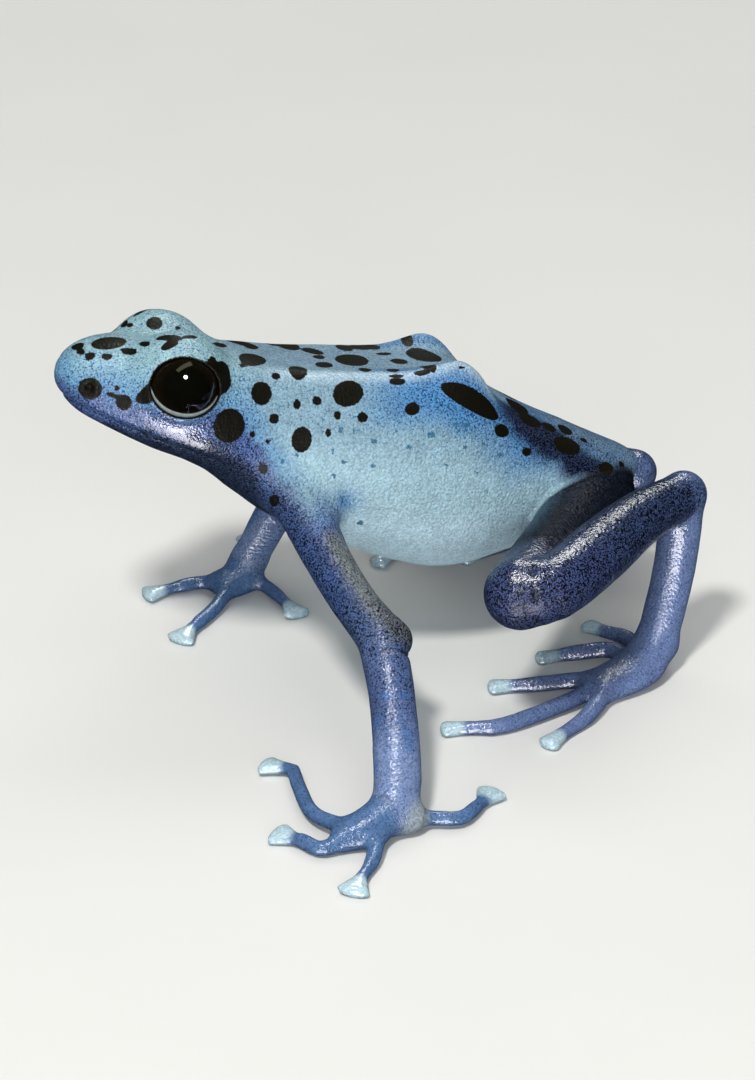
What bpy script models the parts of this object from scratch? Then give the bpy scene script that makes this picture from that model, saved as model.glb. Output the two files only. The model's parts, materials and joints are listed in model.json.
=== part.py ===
"""Blue poison dart frog: a still, life-size model of a standing frog, 43 mm from snout to vent.

The frog faces -X with its left side towards -Y. Trunk and head are one row of cross-sections in
the body's own axes (forward, left, up), tilted and rolled as the animal stands, and are then
parted at the neck and at the mouth. Limbs and digits are round-ended tubes through their joints.
Each piece is trimmed by the one it grows from, which leaves a thin even gap between them.
Sizes are in millimetres until the meshes are made.
"""

import math

import bmesh
import bpy
from mathutils import Matrix, Vector

MM = 0.001
GAP = 0.3
FLOOR = 0.0

# The spot on the floor, in the frame of the joints below, that is the model's origin.
ORIGIN_SHIFT = Vector((2.2, -11.55, 0.0))

# How the trunk stands: its centre, nose-up pitch, and roll that raises the left side.
BODY_CENTRE = Vector((0.0, -4.7, 18.4))
BODY_PITCH = math.radians(13.2)
BODY_ROLL = math.radians(8.5)

# Cross-sections of the trunk from vent to snout: place along the body, half width, height of the
# widest point, top, bottom, and how square the upper and the lower half are (2 is an ellipse).
TRUNK = (
    (-21.9, 1.3, -1.6, -0.8, -2.5, 2.2, 2.0),
    (-21.0, 2.4, -1.7, -0.4, -3.5, 2.2, 2.0),
    (-19.0, 3.9, -2.0, 0.1, -5.2, 2.3, 2.0),
    (-16.0, 5.2, -2.3, 0.95, -7.2, 2.3, 2.0),
    (-13.0, 5.9, -2.6, 1.8, -8.5, 2.4, 2.0),
    (-10.0, 6.5, -2.8, 2.9, -9.7, 2.4, 2.1),
    (-7.5, 6.9, -2.8, 4.3, -10.2, 2.6, 2.1),
    (-5.5, 7.1, -2.8, 4.6, -10.1, 2.8, 2.1),
    (-2.0, 7.2, -2.6, 4.1, -9.5, 2.8, 2.1),
    (2.0, 6.8, -2.2, 3.8, -8.5, 2.7, 2.1),
    (5.0, 6.2, -1.9, 3.7, -7.5, 2.6, 2.1),
    (8.0, 5.8, -1.7, 3.8, -5.9, 2.5, 2.1),
    (10.0, 5.9, -1.5, 4.0, -4.7, 2.5, 2.2),
    (12.0, 5.8, -1.4, 4.1, -3.9, 2.6, 2.3),
    (14.0, 5.4, -1.1, 4.1, -3.4, 2.6, 2.3),
    (16.0, 4.7, -0.7, 4.0, -2.8, 2.5, 2.3),
    (18.0, 3.8, -0.2, 3.75, -2.1, 2.4, 2.3),
    (19.6, 2.9, 0.2, 3.2, -1.4, 2.4, 2.3),
    (20.6, 2.0, 0.6, 2.5, -0.6, 2.3, 2.2),
    (21.15, 1.0, 0.85, 1.75, 0.15, 2.1, 2.0),
)
VENT_TIP = (-22.2, -1.6)
SNOUT_TIP = (21.35, 0.9)
NECK_AT = 7.8
TRUNK_SIDES = 28
TORSO_RINGS = 24
HEAD_RINGS = 15

# The skin folds along both sides of the back, highest over the sacral hump.
RIDGE_LATERAL = 3.9
RIDGE_HALF_WIDTH = 1.3
RIDGE_HEIGHT = 0.45
HUMP_AT = -6.2
HUMP_LENGTH = 2.2
HUMP_HEIGHT = 0.85
RIDGE_REAR = -8.6
RIDGE_FRONT = 9.0
RIDGE_FADE = 0.8

# Mouth: a plane through a point under the snout and the corner of the mouth.
MOUTH_FRONT = (20.9, -0.45)
MOUTH_CORNER = (10.0, -2.9)
JAW_INSET = 0.96

# Eyes: ball, and the bulge of the lids that it looks out of.
EYE_AT = (13.55, 3.7, 1.85)
EYE_RADIUS = 2.65
LID_BULGE_AT = (13.55, 2.85, 1.85)
LID_BULGE_RADII = (3.5, 3.05, 3.45)
EYE_SIDES = 20
BULGE_SIDES = 20

# Nostrils: pits in the side of the snout.
NOSTRIL_AT = (19.6, 2.75, 0.75)
NOSTRIL_RADIUS = 0.42
NOSTRIL_SIDES = 8

# Limbs: joints on the floor's axes, then half width and half thickness at each. A limb's first
# joint lies inside what it grows from.
SHOULDERS = {"left": (4.6, 4.2, -4.0), "right": (4.8, -4.2, -4.0)}
HIPS = {"left": (-18.6, 2.4, -3.6), "right": (-18.4, -2.4, -3.8)}
ARMS = {
    "left": {
        "upper_arm": (
            ((-4.3, -13.0, 12.8), 1.65, 1.65),
            ((-3.2, -17.0, 10.5), 1.55, 1.55),
            ((-1.9, -19.7, 8.8), 1.65, 1.65),
        ),
        "forearm": (
            ((-2.3, -23.6, 6.3), 1.55, 1.55),
            ((-3.3, -28.4, 3.1), 1.6, 1.5),
            ((-4.0, -30.0, 1.6), 1.5, 1.45),
        ),
        "hand": (((-6.6, -31.0, 1.1), 1.35, 1.15), ((-7.6, -31.0, 0.9), 1.1, 0.95)),
    },
    "right": {
        "upper_arm": (((-2.2, 4.4, 13.2), 1.7, 1.7), ((1.6, 8.6, 11.0), 1.65, 1.65)),
        "forearm": (
            ((-0.6, 7.8, 7.8), 1.5, 1.5),
            ((-3.3, 6.5, 4.2), 1.35, 1.35),
            ((-4.7, 5.9, 2.2), 1.25, 1.25),
        ),
        "hand": (((-5.8, 5.3, 1.1), 1.4, 1.15), ((-6.8, 5.0, 0.9), 1.25, 0.95)),
    },
}
ARM_ROOT = (2.2, 2.2)
LEGS = {
    "left": {
        "thigh": (((13.0, -13.8, 10.9), 2.75, 2.75), ((7.4, -21.2, 11.6), 2.45, 2.45)),
        "shank": (
            ((9.3, -21.9, 12.0), 2.2, 2.2),
            ((13.8, -18.5, 12.4), 2.2, 2.2),
            ((17.9, -15.4, 12.9), 1.9, 1.9),
            ((22.0, -12.9, 13.0), 1.55, 1.55),
        ),
        "tarsus": (((21.4, -13.3, 7.6), 1.5, 1.45), ((19.9, -14.2, 2.2), 1.5, 1.3)),
        "foot": (((18.0, -15.6, 1.15), 1.85, 1.05), ((14.4, -17.0, 0.8), 1.6, 0.85)),
    },
    "right": {
        "thigh": (((13.4, 4.6, 9.8), 2.75, 2.75), ((9.2, 12.0, 8.4), 2.45, 2.45)),
        "shank": (
            ((11.4, 12.0, 8.0), 2.1, 2.1),
            ((16.8, 7.6, 7.0), 2.1, 2.1),
            ((20.6, 3.6, 7.8), 1.85, 1.85),
            ((23.5, 1.2, 7.8), 1.55, 1.55),
        ),
        "tarsus": (((22.8, 5.2, 4.9), 1.5, 1.4), ((21.2, 8.8, 2.0), 1.5, 1.25)),
        "foot": (((19.2, 9.0, 1.1), 1.85, 1.05), ((15.8, 8.8, 0.8), 1.6, 0.85)),
    },
}
LEG_ROOT = (2.8, 2.8)

# Digits, first to last: the points of each, root first, with heights above the floor. A None
# height lays the digit on the floor.
FINGERS = {
    "left": (
        ((-7.2, -30.4, 1.0), (-8.9, -27.8, 0.9), (-8.9, -23.6, 0.8), (-8.7, -21.5, 0.7), (-10.1, -20.2, None)),
        ((-7.4, -31.3, 0.9), (-9.4, -31.7, 0.6), (-10.4, -30.4, 0.6), (-11.6, -28.9, None)),
        ((-5.6, -31.6, 0.9), (-6.6, -33.9, 0.6), (-8.7, -36.8, None)),
        ((-4.6, -30.4, 1.1), (-2.0, -30.2, 0.8), (0.3, -30.7, 0.7), (1.7, -29.6, 0.6), (3.4, -27.8, None)),
    ),
    "right": (
        ((-5.4, 4.9, 1.0), (-4.2, 4.6, 0.8), (-3.4, 3.0, 0.6), (-2.6, 0.2, None)),
        ((-6.6, 4.4, 0.9), (-8.1, 2.4, 0.6), (-9.9, 0.4, 0.6), (-11.6, -1.2, None)),
        ((-6.8, 5.2, 0.9), (-8.2, 6.3, 0.6), (-9.8, 6.2, 0.6), (-12.3, 6.0, None)),
        ((-5.3, 6.0, 1.0), (-4.6, 8.2, 0.7), (-3.8, 10.2, 0.6), (-3.0, 12.4, None)),
    ),
}
TOES = {
    "left": (
        ((19.2, -13.8, 1.3), (18.9, -10.6, 0.8), (17.2, -7.6, None)),
        ((18.0, -14.6, 1.1), (17.2, -12.0, 0.8), (14.6, -11.4, 0.6), (12.4, -11.1, None)),
        ((15.4, -16.2, 0.9), (13.2, -15.3, 0.7), (10.5, -14.9, 0.6), (7.9, -14.1, None)),
        ((14.6, -17.0, 0.9), (11.7, -18.2, 0.7), (6.5, -19.8, 0.6), (3.0, -18.8, None)),
        ((15.0, -17.6, 0.9), (12.8, -20.1, 0.6), (9.2, -22.6, None)),
    ),
    "right": (
        ((20.2, 7.8, 1.1), (18.2, 5.4, 0.7), (15.6, 3.6, None)),
        ((18.4, 8.0, 1.0), (15.8, 6.2, 0.7), (11.6, 4.9, None)),
        ((16.4, 8.2, 0.9), (13.2, 7.2, 0.6), (8.6, 6.1, None)),
        ((16.0, 8.8, 0.9), (12.2, 8.9, 0.6), (7.6, 7.8, 0.6), (5.3, 6.2, None)),
        ((16.2, 9.4, 0.9), (13.2, 11.4, 0.6), (10.0, 13.2, None)),
    ),
}
FINGER_RADIUS = 0.5
TOE_RADIUS = 0.58
FINGER_PAD = (1.1, 0.45)
TOE_PAD = (0.8, 0.45)
PAD_LENGTH = 1.5
SINK = 0.07
DIGIT_THINNING = (1.1, 1.0, 0.95, 0.9)
DIGIT_WAIST = 0.8
ON_FLOOR = ("hand", "foot")

LIMB_SIDES = 14
DIGIT_SIDES = 8
CAP_BENDS = (0.0, math.radians(30), math.radians(60))

BODY_AXES = (
    Matrix.Rotation(BODY_PITCH, 3, "Y") @ Matrix.Rotation(-BODY_ROLL, 3, "X")
)

SKIN_BLUE = (0.36, 0.6, 0.76)
DORSAL_BLUE = (0.3, 0.52, 0.74)
LIMB_BLUE = (0.1, 0.13, 0.36)
DIGIT_BLUE = (0.24, 0.38, 0.6)
EYE_BLACK = (0.008, 0.006, 0.004)


def clear_scene():
    """Remove every object of the open scene."""
    for obj in list(bpy.data.objects):
        bpy.data.objects.remove(obj, do_unlink=True)


def body_point(forward, left, up):
    """A point of the trunk's own axes, on the floor's axes."""
    return BODY_CENTRE + BODY_AXES @ Vector((-forward, -left, up))


def blend(rows, place):
    """The values after the first, at `place`, on a smooth curve through rows sorted by their first."""
    last = len(rows) - 1
    k = max([0] + [i for i in range(last) if rows[i][0] <= place])
    low, high = rows[k], rows[k + 1]
    run = high[0] - low[0]
    u = (place - low[0]) / run
    values = []
    for c in range(1, len(low)):
        slopes = []
        for i in (k, k + 1):
            back, ahead = rows[max(i - 1, 0)], rows[min(i + 1, last)]
            slopes.append(run * (ahead[c] - back[c]) / (ahead[0] - back[0]))
        rise = (3 - 2 * u) * u * u
        value = low[c] + (high[c] - low[c]) * rise
        value += slopes[0] * u * (1 - u) ** 2 - slopes[1] * u * u * (1 - u)
        values.append(value)
    return values


def signed_power(value, power):
    return math.copysign(abs(value) ** power, value)


def ridge_lift(place, left):
    """How far the folds beside the spine raise the back."""
    across = math.exp(-(((abs(left) - RIDGE_LATERAL) / RIDGE_HALF_WIDTH) ** 2))
    along = 0.5 * (math.tanh((place - RIDGE_REAR) / RIDGE_FADE) - math.tanh((place - RIDGE_FRONT) / RIDGE_FADE))
    hump = math.exp(-(((place - HUMP_AT) / HUMP_LENGTH) ** 2))
    return across * (RIDGE_HEIGHT * along + HUMP_HEIGHT * hump)


def trunk_section(place, grow=0.0, squeeze=1.0):
    """Ring of points round the trunk at one place along it, `grow` wider all round."""
    width, level, top, bottom, upper, lower = blend(TRUNK, place)
    ring = []
    for k in range(TRUNK_SIDES):
        turn = 2 * math.pi * k / TRUNK_SIDES
        over = math.sin(turn) >= 0
        power = 2 / (upper if over else lower)
        reach = (top - level if over else level - bottom) + grow
        left = (width * squeeze + grow) * signed_power(math.cos(turn), power)
        up = level + reach * signed_power(math.sin(turn), power)
        if over:
            up += ridge_lift(place, left)
        ring.append(body_point(place, left, up))
    return ring


def close_rings(rings, start=None, end=None):
    """Closed mesh through rings of points. A tip closes each end, or a flat face where it is None."""
    mesh = bmesh.new()
    loops = [[mesh.verts.new(point) for point in ring] for ring in rings]
    sides = len(rings[0])
    for near, far in zip(loops, loops[1:]):
        for k in range(sides):
            mesh.faces.new((near[k], near[(k + 1) % sides], far[(k + 1) % sides], far[k]))
    for loop, tip in ((loops[0], start), (loops[-1], end)):
        if tip is None:
            mesh.faces.new(loop)
            continue
        point = mesh.verts.new(tip)
        for k in range(sides):
            mesh.faces.new((loop[k], loop[(k + 1) % sides], point))
    bmesh.ops.recalc_face_normals(mesh, faces=mesh.faces)
    return mesh


def crowded(count, start, end, crowd_start=False, crowd_end=False):
    """Places from start to end, closer together towards the ends asked for."""
    places = []
    for k in range(count):
        t = k / (count - 1)
        eased = t
        if crowd_start:
            eased = 0.5 * t + 0.5 * (1 - math.cos(math.pi * t / 2))
        if crowd_end:
            eased = 0.5 * t + 0.5 * math.sin(math.pi * t / 2)
        places.append(start + (end - start) * eased)
    return places


def torso_form():
    places = crowded(TORSO_RINGS, TRUNK[0][0], NECK_AT - GAP / 2, crowd_start=True)
    rings = [trunk_section(place) for place in places]
    return close_rings(rings, start=body_point(VENT_TIP[0], 0, VENT_TIP[1]))


def head_form(squeeze=1.0):
    places = crowded(HEAD_RINGS, NECK_AT + GAP / 2, TRUNK[-1][0], crowd_end=True)
    rings = [trunk_section(place, squeeze=squeeze) for place in places]
    return close_rings(rings, end=body_point(SNOUT_TIP[0], 0, SNOUT_TIP[1]))


def trunk_form(grow):
    """The whole trunk, head and all, grown by the gap: what limbs are trimmed with."""
    places = crowded(TORSO_RINGS, TRUNK[0][0], TRUNK[-1][0], crowd_start=True)
    rings = [trunk_section(place, grow) for place in places]
    start = body_point(VENT_TIP[0] - grow, 0, VENT_TIP[1])
    return close_rings(rings, start, body_point(SNOUT_TIP[0] + grow, 0, SNOUT_TIP[1]))


def halve(mesh, point, normal):
    """Cut a closed mesh flat at a plane and keep the side that the normal points away from."""
    geometry = list(mesh.verts) + list(mesh.edges) + list(mesh.faces)
    cut = bmesh.ops.bisect_plane(
        mesh, geom=geometry, dist=1e-5, plane_co=point, plane_no=normal, clear_outer=True
    )
    rim = [item for item in cut["geom_cut"] if isinstance(item, bmesh.types.BMEdge)]
    if rim:
        bmesh.ops.contextual_create(mesh, geom=rim)
        bmesh.ops.recalc_face_normals(mesh, faces=mesh.faces)
    return mesh


def mouth_plane(shift):
    """Point and upward normal of the plane of the mouth, moved up by `shift`."""
    front = Vector((MOUTH_FRONT[0], 0, MOUTH_FRONT[1]))
    corner = Vector((MOUTH_CORNER[0], 0, MOUTH_CORNER[1]))
    along = (front - corner).normalized()
    normal = Vector((-along.z, 0, along.x))
    point = corner + normal * shift
    here = body_point(point.x, 0, point.z)
    ahead = body_point(point.x + normal.x, 0, point.z + normal.z)
    return here, ahead - here


def ball_form(at, radii, sides, axes=Matrix.Identity(3)):
    """Ellipsoid about `at`, its radii along the given axes."""
    mesh = bmesh.new()
    bmesh.ops.create_uvsphere(mesh, u_segments=sides, v_segments=sides // 2 + 1, radius=1.0)
    for vert in mesh.verts:
        vert.co = at + axes @ Vector([c * r for c, r in zip(vert.co, radii)])
    return mesh


def tube_form(joints, grow=0.0, sides=LIMB_SIDES, steps=3):
    """Round-ended tube through joints of (point, half width, half thickness)."""
    rows = []
    reach = 0.0
    for k, (point, width, thick) in enumerate(joints):
        if k:
            reach += (Vector(point) - Vector(joints[k - 1][0])).length
        rows.append((reach, *point, width, thick))
    count = steps * (len(rows) - 1)
    samples = [blend(rows, reach * k / count) for k in range(count + 1)]
    points = [Vector(sample[:3]) for sample in samples]
    rings = []
    normal = Vector((0, 0, 1))
    for k, sample in enumerate(samples):
        along = (points[min(k + 1, count)] - points[max(k - 1, 0)]).normalized()
        normal = (normal - along * normal.dot(along)).normalized()
        side = along.cross(normal)
        width, thick = sample[3] + grow, sample[4] + grow
        bends = CAP_BENDS if k in (0, count) else (0.0,)
        outward = -along if k == 0 else along
        cap = []
        for bend in bends:
            centre = points[k] + outward * thick * math.sin(bend)
            shrink = math.cos(bend)
            ring = []
            for j in range(sides):
                turn = 2 * math.pi * j / sides
                across = side * (width * shrink * math.cos(turn))
                ring.append(centre + across + normal * (thick * shrink * math.sin(turn)))
            cap.append(ring)
        rings += cap[::-1] if k == 0 else cap
        if k in (0, count):
            tip = points[k] + outward * thick
            start, end = (tip, None) if k == 0 else (start, tip)
    return close_rings(rings, start, end)


def make_object(name, mesh, material):
    """Turn a mesh in millimetres into an object in metres about the model's origin."""
    for vert in mesh.verts:
        vert.co = (vert.co - ORIGIN_SHIFT) * MM
    data = bpy.data.meshes.new(name)
    mesh.to_mesh(data)
    mesh.free()
    data.materials.append(material)
    data.shade_smooth()
    data.set_sharp_from_angle(angle=math.radians(50))
    obj = bpy.data.objects.new(name, data)
    bpy.context.scene.collection.objects.link(obj)
    return obj


def keep_largest(data):
    """Leave only the closed surface that holds the most volume."""
    mesh = bmesh.new()
    mesh.from_mesh(data)
    waiting = set(mesh.faces)
    surfaces = []
    while waiting:
        face = waiting.pop()
        surface = [face]
        for member in surface:
            for edge in member.edges:
                for other in edge.link_faces:
                    if other in waiting:
                        waiting.remove(other)
                        surface.append(other)
        surfaces.append(surface)
    if len(surfaces) > 1:
        surfaces.sort(key=enclosed_volume)
        spare = [face for surface in surfaces[:-1] for face in surface]
        bmesh.ops.delete(mesh, geom=spare, context="FACES")
        mesh.to_mesh(data)
    mesh.free()


def enclosed_volume(faces):
    total = 0.0
    for face in faces:
        corners = [vert.co for vert in face.verts]
        for k in range(1, len(corners) - 1):
            total += corners[0].dot(corners[k].cross(corners[k + 1]))
    return abs(total)


def combine(obj, form, operation):
    """Join a form to an object, or take it away, and keep the largest closed surface."""
    other = make_object("form", form, obj.data.materials[0])
    modifier = obj.modifiers.new(operation, "BOOLEAN")
    modifier.operation = operation
    modifier.object = other
    graph = bpy.context.evaluated_depsgraph_get()
    data = bpy.data.meshes.new_from_object(obj.evaluated_get(graph))
    obj.modifiers.clear()
    old = obj.data
    obj.data = data
    bpy.data.meshes.remove(old)
    data.name = obj.name
    spare = other.data
    bpy.data.objects.remove(other, do_unlink=True)
    bpy.data.meshes.remove(spare)
    keep_largest(obj.data)


def make_material(name, colour, roughness):
    material = bpy.data.materials.new(name)
    material.use_nodes = True
    shader = material.node_tree.nodes["Principled BSDF"]
    shader.inputs["Base Color"].default_value = (*colour, 1.0)
    shader.inputs["Roughness"].default_value = roughness
    shader.inputs["Metallic"].default_value = 0.0
    return material


def lateral(side):
    return 1 if side == "left" else -1


def make_head(material):
    """Head above the mouth, with the bulges and sockets of the eyes and the nostrils."""
    point, normal = mouth_plane(GAP / 2)
    head = make_object("head", halve(head_form(), point, -normal), material)
    for side in ("left", "right"):
        forward, left, up = LID_BULGE_AT
        at = body_point(forward, left * lateral(side), up)
        combine(head, ball_form(at, LID_BULGE_RADII, BULGE_SIDES, BODY_AXES), "UNION")
    for side in ("left", "right"):
        radius = EYE_RADIUS + GAP
        form = ball_form(eye_centre(side), (radius,) * 3, EYE_SIDES, BODY_AXES)
        combine(head, form, "DIFFERENCE")
        forward, left, up = NOSTRIL_AT
        at = body_point(forward, left * lateral(side), up)
        form = ball_form(at, (NOSTRIL_RADIUS,) * 3, NOSTRIL_SIDES, BODY_AXES)
        combine(head, form, "DIFFERENCE")
    return head


def make_jaw(material):
    """Lower jaw and throat, a little narrower than the upper lip."""
    point, normal = mouth_plane(-GAP / 2)
    return make_object("lower_jaw", halve(head_form(JAW_INSET), point, normal), material)


def eye_centre(side):
    forward, left, up = EYE_AT
    return body_point(forward, left * lateral(side), up)


def make_eye(side, material):
    form = ball_form(eye_centre(side), (EYE_RADIUS,) * 3, EYE_SIDES, BODY_AXES)
    return make_object(f"eye_{side}", form, material)


def make_limb(side, root, segments, materials):
    """A limb's segments in a row. Each is trimmed by the one before it, the first by the trunk."""
    pieces = []
    start = root
    before = trunk_form(GAP)
    for name, joints in segments.items():
        chain = [start, *joints]
        form = tube_form(chain)
        if name in ON_FLOOR:
            halve(form, Vector((0, 0, FLOOR)), Vector((0, 0, -1)))
        piece = make_object(f"{name}_{side}", form, materials[name])
        combine(piece, before, "DIFFERENCE")
        pieces.append(piece)
        before = tube_form(chain, GAP)
        start = joints[-1]
    return pieces


def digit_joints(points, radius, pad):
    """Joints of a digit that thins a little, then widens into the flat pad at its tip."""
    joints = [(point, radius * thin, radius * thin) for point, thin in zip(points[:-1], DIGIT_THINNING)]
    before, tip = Vector(points[-2]), Vector((*points[-1][:2], pad[1] - SINK))
    along = (tip - before).normalized()
    waist = radius * DIGIT_WAIST
    joints.append((tuple(tip - along * PAD_LENGTH), waist, waist))
    joints.append((tuple(tip), *pad))
    return joints


def make_digits(side, name, paths, radius, pad, trims, material):
    """The digits of one hand or foot, each trimmed by the palm or sole and by its neighbour."""
    pieces = []
    before = []
    for number, points in enumerate(paths, 1):
        joints = digit_joints(points, radius, pad)
        form = tube_form(joints, sides=DIGIT_SIDES, steps=2)
        halve(form, Vector((0, 0, FLOOR)), Vector((0, 0, -1)))
        piece = make_object(f"{name}_{number}_{side}", form, material)
        for trim in [tube_form(joints, GAP) for joints in trims] + before:
            combine(piece, trim, "DIFFERENCE")
        before = [tube_form(joints, GAP, DIGIT_SIDES, 2)]
        pieces.append(piece)
    return pieces


def main():
    clear_scene()
    skin = make_material("sky_blue_skin", SKIN_BLUE, 0.4)
    back = make_material("head_skin", DORSAL_BLUE, 0.4)
    limb = make_material("dark_blue_limb_skin", LIMB_BLUE, 0.35)
    digit = make_material("digit_skin", DIGIT_BLUE, 0.35)
    eye = make_material("eye", EYE_BLACK, 0.05)
    pieces = [make_object("torso", torso_form(), skin), make_head(back), make_jaw(back)]
    for side in ("left", "right"):
        pieces.append(make_eye(side, eye))
        for limbs, roots, width, ends in (
            (ARMS, SHOULDERS, ARM_ROOT, (FINGERS, "finger", FINGER_RADIUS, FINGER_PAD)),
            (LEGS, HIPS, LEG_ROOT, (TOES, "toe", TOE_RADIUS, TOE_PAD)),
        ):
            segments = limbs[side]
            root = (tuple(body_point(*roots[side])), *width)
            pieces += make_limb(side, root, segments, {name: limb for name in segments})
            names = list(segments)
            wrist = segments[names[-2]]
            palm = [wrist[-1], *segments[names[-1]]]
            digits, name, radius, pad = ends
            trims = [palm, list(wrist)]
            pieces += make_digits(side, name, digits[side], radius, pad, trims, digit)
    frog = bpy.data.objects.new("frog", None)
    bpy.context.scene.collection.objects.link(frog)
    for piece in pieces:
        piece.parent = frog


main()
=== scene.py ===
"""Looks of the blue poison dart frog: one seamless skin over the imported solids, wet eyes and a plain studio.

The frog faces -X with its left side towards -Y. Lengths are millimetres on the floor's axes until
a mesh is made, and the trunk has axes of its own: forward, left and up. The skin is the zero level
of a field of distances, made from the same cross-sections and joints as the solids, and its
colours are values at its points, set from where each point lies on the animal.
"""

import json
import logging
import math
from collections.abc import Callable, Iterator, Sequence
from dataclasses import dataclass
from enum import Enum
from functools import cached_property
from typing import NamedTuple

import bpy
import numpy as np
from mathutils import Matrix, Vector
from mathutils.bvhtree import BVHTree

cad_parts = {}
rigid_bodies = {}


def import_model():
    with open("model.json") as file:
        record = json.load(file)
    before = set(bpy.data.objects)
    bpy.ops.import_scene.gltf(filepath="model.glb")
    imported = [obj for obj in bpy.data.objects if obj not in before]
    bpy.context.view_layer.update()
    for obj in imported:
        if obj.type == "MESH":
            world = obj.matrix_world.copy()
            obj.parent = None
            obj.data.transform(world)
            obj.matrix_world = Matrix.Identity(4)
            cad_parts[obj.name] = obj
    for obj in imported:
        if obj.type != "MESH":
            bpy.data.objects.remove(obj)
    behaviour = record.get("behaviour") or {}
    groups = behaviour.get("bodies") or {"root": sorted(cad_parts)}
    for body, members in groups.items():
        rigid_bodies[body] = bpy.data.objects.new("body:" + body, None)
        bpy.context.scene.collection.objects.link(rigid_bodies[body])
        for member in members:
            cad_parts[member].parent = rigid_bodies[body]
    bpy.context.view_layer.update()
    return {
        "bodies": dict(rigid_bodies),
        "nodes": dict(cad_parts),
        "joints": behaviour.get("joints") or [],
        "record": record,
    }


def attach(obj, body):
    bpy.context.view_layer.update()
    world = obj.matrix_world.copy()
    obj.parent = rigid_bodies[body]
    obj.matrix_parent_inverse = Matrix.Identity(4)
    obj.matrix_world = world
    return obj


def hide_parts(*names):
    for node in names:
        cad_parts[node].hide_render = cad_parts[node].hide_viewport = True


LOG = logging.getLogger("frog")

Array = np.ndarray
Field = Callable[[Array], Array]
Pair = tuple[float, float]
Triple = tuple[float, float, float]
Joint = tuple[Triple, float, float]
Socket = bpy.types.NodeSocket
Node = bpy.types.Node
Tree = bpy.types.NodeTree

MM = 0.001
FAR = 9.0
MARGIN = 2.8
FINE_STEP = 0.22
SLAB = 8

ORIGIN_SHIFT = np.array((2.2, -11.55, 0.0))
BODY_CENTRE = np.array((0.0, -4.7, 18.4))
BODY_PITCH = math.radians(13.2)
BODY_ROLL = math.radians(8.5)
BODY_AXES = np.array(Matrix.Rotation(BODY_PITCH, 3, "Y") @ Matrix.Rotation(-BODY_ROLL, 3, "X"))
FLIP = np.array((-1.0, -1.0, 1.0))


class Side(Enum):
    """The two sides of the animal, as the sign of the direction to its left."""

    LEFT = 1
    RIGHT = -1


def body_to_floor(local: Array) -> Array:
    """Move rows of forward, left and up on the trunk's axes to the floor's x, y and z."""
    return BODY_CENTRE + (np.asarray(local, float) * FLIP) @ BODY_AXES.T


def floor_to_body(points: Array) -> Array:
    """Move rows of x, y and z to forward, left and up on the trunk's axes."""
    return ((points - BODY_CENTRE) @ BODY_AXES) * FLIP


def smooth_min(first: Array, second: Array, width: Array | float) -> Array:
    """Join two fields with a rounded inner corner.

    Args:
        first: Distances to one form.
        second: Distances to the other form.
        width: How far apart the two may be and still flow together.

    Returns:
        Distances to both forms as one.
    """
    share = np.clip(0.5 + 0.5 * (second - first) / width, 0.0, 1.0)
    return second + (first - second) * share - width * share * (1.0 - share)


def smooth_max(first: Array, second: Array, width: Array | float) -> Array:
    """Keep what two fields share, with a rounded outer corner."""
    return -smooth_min(-first, -second, width)


def ease(value: Array, start: float, end: float) -> Array:
    """Rise smoothly from 0 at start to 1 at end; start may be the larger."""
    part = np.clip((value - start) / (end - start), 0.0, 1.0)
    return part * part * (3.0 - 2.0 * part)


def bell(offset: Array, half_width: Array | float) -> Array:
    """Fall smoothly from 1 at no offset towards 0 on both sides."""
    return np.exp(-((offset / half_width) ** 2))


class Border(NamedTuple):
    """A soft border: where it starts and where it is complete."""

    start: float
    full: float

    def share(self, places: Array) -> Array:
        """How far past the border each place is, from 0 to 1."""
        return ease(places, self.start, self.full)


def length(vectors: Array) -> Array:
    """Lengths of rows of vectors."""
    return np.sqrt(np.einsum("ij,ij->i", vectors, vectors))


def blend_rows(rows: Array, places: Array) -> Array:
    """Values on smooth curves through rows sorted by their first column.

    Args:
        rows: One row for each known place: the place, then its values.
        places: Where the values are wanted.

    Returns:
        One row of values for each place.
    """
    known, values = rows[:, 0], rows[:, 1:]
    spans = np.gradient(known)
    slopes = np.empty_like(values)
    slopes[1:-1] = (values[2:] - values[:-2]) / (known[2:] - known[:-2])[:, None]
    slopes[0] = (values[1] - values[0]) / spans[0]
    slopes[-1] = (values[-1] - values[-2]) / spans[-1]
    k = np.clip(np.searchsorted(known, places, side="right") - 1, 0, len(known) - 2)
    run = (known[k + 1] - known[k])[:, None]
    u = (places[:, None] - known[k][:, None]) / run
    rise = (3 - 2 * u) * u * u
    blended = values[k] + (values[k + 1] - values[k]) * rise
    bend = slopes[k] * u * (1 - u) ** 2 - slopes[k + 1] * u * u * (1 - u)
    return blended + run * bend


def value_noise(points: Array, size: float, seed: int) -> Array:
    """Smooth noise from -1 to 1.

    Args:
        points: Rows of x, y, z.
        size: How far apart its lumps are.
        seed: Picks one of many such noises.

    Returns:
        One value for each point.
    """
    scaled = points / size + 512.0
    base = np.floor(scaled).astype(np.int64)
    part = scaled - base
    part = part * part * (3 - 2 * part)
    total = np.zeros(len(points))
    for corner in range(8):
        step = np.array((corner & 1, corner >> 1 & 1, corner >> 2 & 1))
        mixed = (base + step) @ np.array((73856093, 19349663, 83492791)) + seed * 2654435761
        mixed = (mixed ^ (mixed >> 13)) * 1274126177 & 0xFFFFFFFF
        share = np.where(step == 1, part, 1 - part).prod(axis=1)
        total += share * (((mixed ^ (mixed >> 16)) & 0xFFFF) / 32767.5 - 1.0)
    return total


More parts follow.
